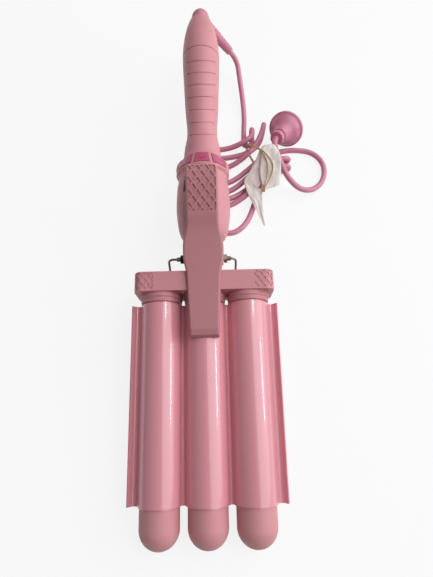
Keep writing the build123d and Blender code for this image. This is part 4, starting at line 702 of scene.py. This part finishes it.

# %% [markdown]
# ## What is soft, in numbers
# A mesh alone doesn't say that it is a cord. Here the cord's name and the number of points on its
# line are printed.

# %% The cord, in numbers
print("declared", mains_cord.name, "along", len(cord_path), "points")

# %% [markdown]
# ## Floor, camera and light
# The part stands on a plain pale floor. The camera looks down at the tool from above its barrels,
# at the angle that the photograph was taken from. A large soft panel at the right is the main
# light. A thin strip low at the right makes the long bright lines on the glaze, a small patch above
# the head makes the short ones at their upper ends, and a weak panel at the left fills the shadows.
# The floor glows for rays that come straight from the camera or by way of metal and glaze, so that
# it is white there and still takes the part's shadow.

# %% Floor
floor_half_width = 6.0
floor_glow = 0.85
floor_mesh = bpy.data.meshes.new("floor")
sheet = bmesh.new()
bmesh.ops.create_grid(sheet, x_segments=1, y_segments=1, size=floor_half_width)
sheet.to_mesh(floor_mesh)
sheet.free()
floor = bpy.data.objects.new("floor", floor_mesh)
bpy.context.scene.collection.objects.link(floor)
floor_paint = Finish("floor_white", (0.86, 0.86, 0.86, 1.0), Roughness=0.9)
rays = floor_paint.add("ShaderNodeLightPath", {}).outputs
direct, glossy, through = [rays[f"Is {kind} Ray"] for kind in ("Camera", "Glossy", "Transmission")]
whiter = (Value(floor_paint, direct) + glossy + through).maths("MINIMUM", 1.0) * floor_glow
glow = floor_paint.add("ShaderNodeEmission", {"Color": (1.0, 1.0, 1.0, 1.0), "Strength": 1.0})
lit = floor_paint.shader.outputs["BSDF"]
blend = floor_paint.add("ShaderNodeMixShader", {0: whiter, 1: lit, 2: glow.outputs[0]})
surface = floor_paint.tree.nodes["Material Output"].inputs["Surface"]
floor_paint.tree.links.new(blend.outputs[0], surface)
dress(floor, floor_paint)
print("floor is", 2 * floor_half_width, "m wide")

# %% Camera
photo_height = 577
focal_pixels = 433.0
off_vertical = radians(21.64)
roll = radians(-1.35)
camera_place = Vector((10.58, -194.8, 395.7)) * MM
forward = Vector((0.0, sin(off_vertical), -cos(off_vertical)))
upright = Vector((0.0, cos(off_vertical), sin(off_vertical)))
right = Vector((1.0, 0.0, 0.0))
right, upright = right * cos(roll) + upright * sin(roll), upright * cos(roll) - right * sin(roll)
lens = bpy.data.cameras.new("camera")
lens.sensor_width = 36.0
lens.lens = lens.sensor_width * focal_pixels / photo_height
lens.clip_start = 0.01
camera = bpy.data.objects.new("camera", lens)
turn_to = Matrix((right, upright, -forward)).transposed().to_4x4()
camera.matrix_world = Matrix.Translation(camera_place) @ turn_to
bpy.context.scene.collection.objects.link(camera)
bpy.context.scene.camera = camera
print("lens", round(lens.lens, 2), "mm, camera at", [round(c, 3) for c in camera_place])


# %% A soft panel
def panel(name, place, aim, size, watts):
    """A rectangular soft light that faces a point."""
    lamp = bpy.data.lights.new(name, "AREA")
    lamp.shape = "RECTANGLE"
    lamp.size, lamp.size_y = size
    lamp.energy = watts
    holder = bpy.data.objects.new(name, lamp)
    way = Vector(place) - Vector(aim)
    turned = way.to_track_quat("Z", "Y").to_matrix().to_4x4()
    holder.matrix_world = Matrix.Translation(place) @ turned
    bpy.context.scene.collection.objects.link(holder)


# %% Lamps and world
panel("key", (1.1, 0.3, 1.1), (0.0, 0.0, 0.03), (2.2, 2.2), 29.0)
panel("strip", (0.93, -0.13, 0.56), (0.0, -0.56, 0.03), (0.27, 0.03), 1.0)
panel("patch", (0.4, 0.1, 0.88), (0.0, -0.05, 0.03), (0.15, 0.09), 0.7)
panel("fill", (-0.9, -0.3, 0.8), (0.0, -0.05, 0.03), (0.5, 1.0), 0.15)
world = bpy.data.worlds.new("studio")
bpy.context.scene.world = world
world.use_nodes = True
background = world.node_tree.nodes["Background"].inputs
background["Color"].default_value = (1.0, 1.0, 1.0, 1.0)
background["Strength"].default_value = 0.2
bpy.context.scene.view_settings.view_transform = "Standard"
print("lamps", len(bpy.data.lights))
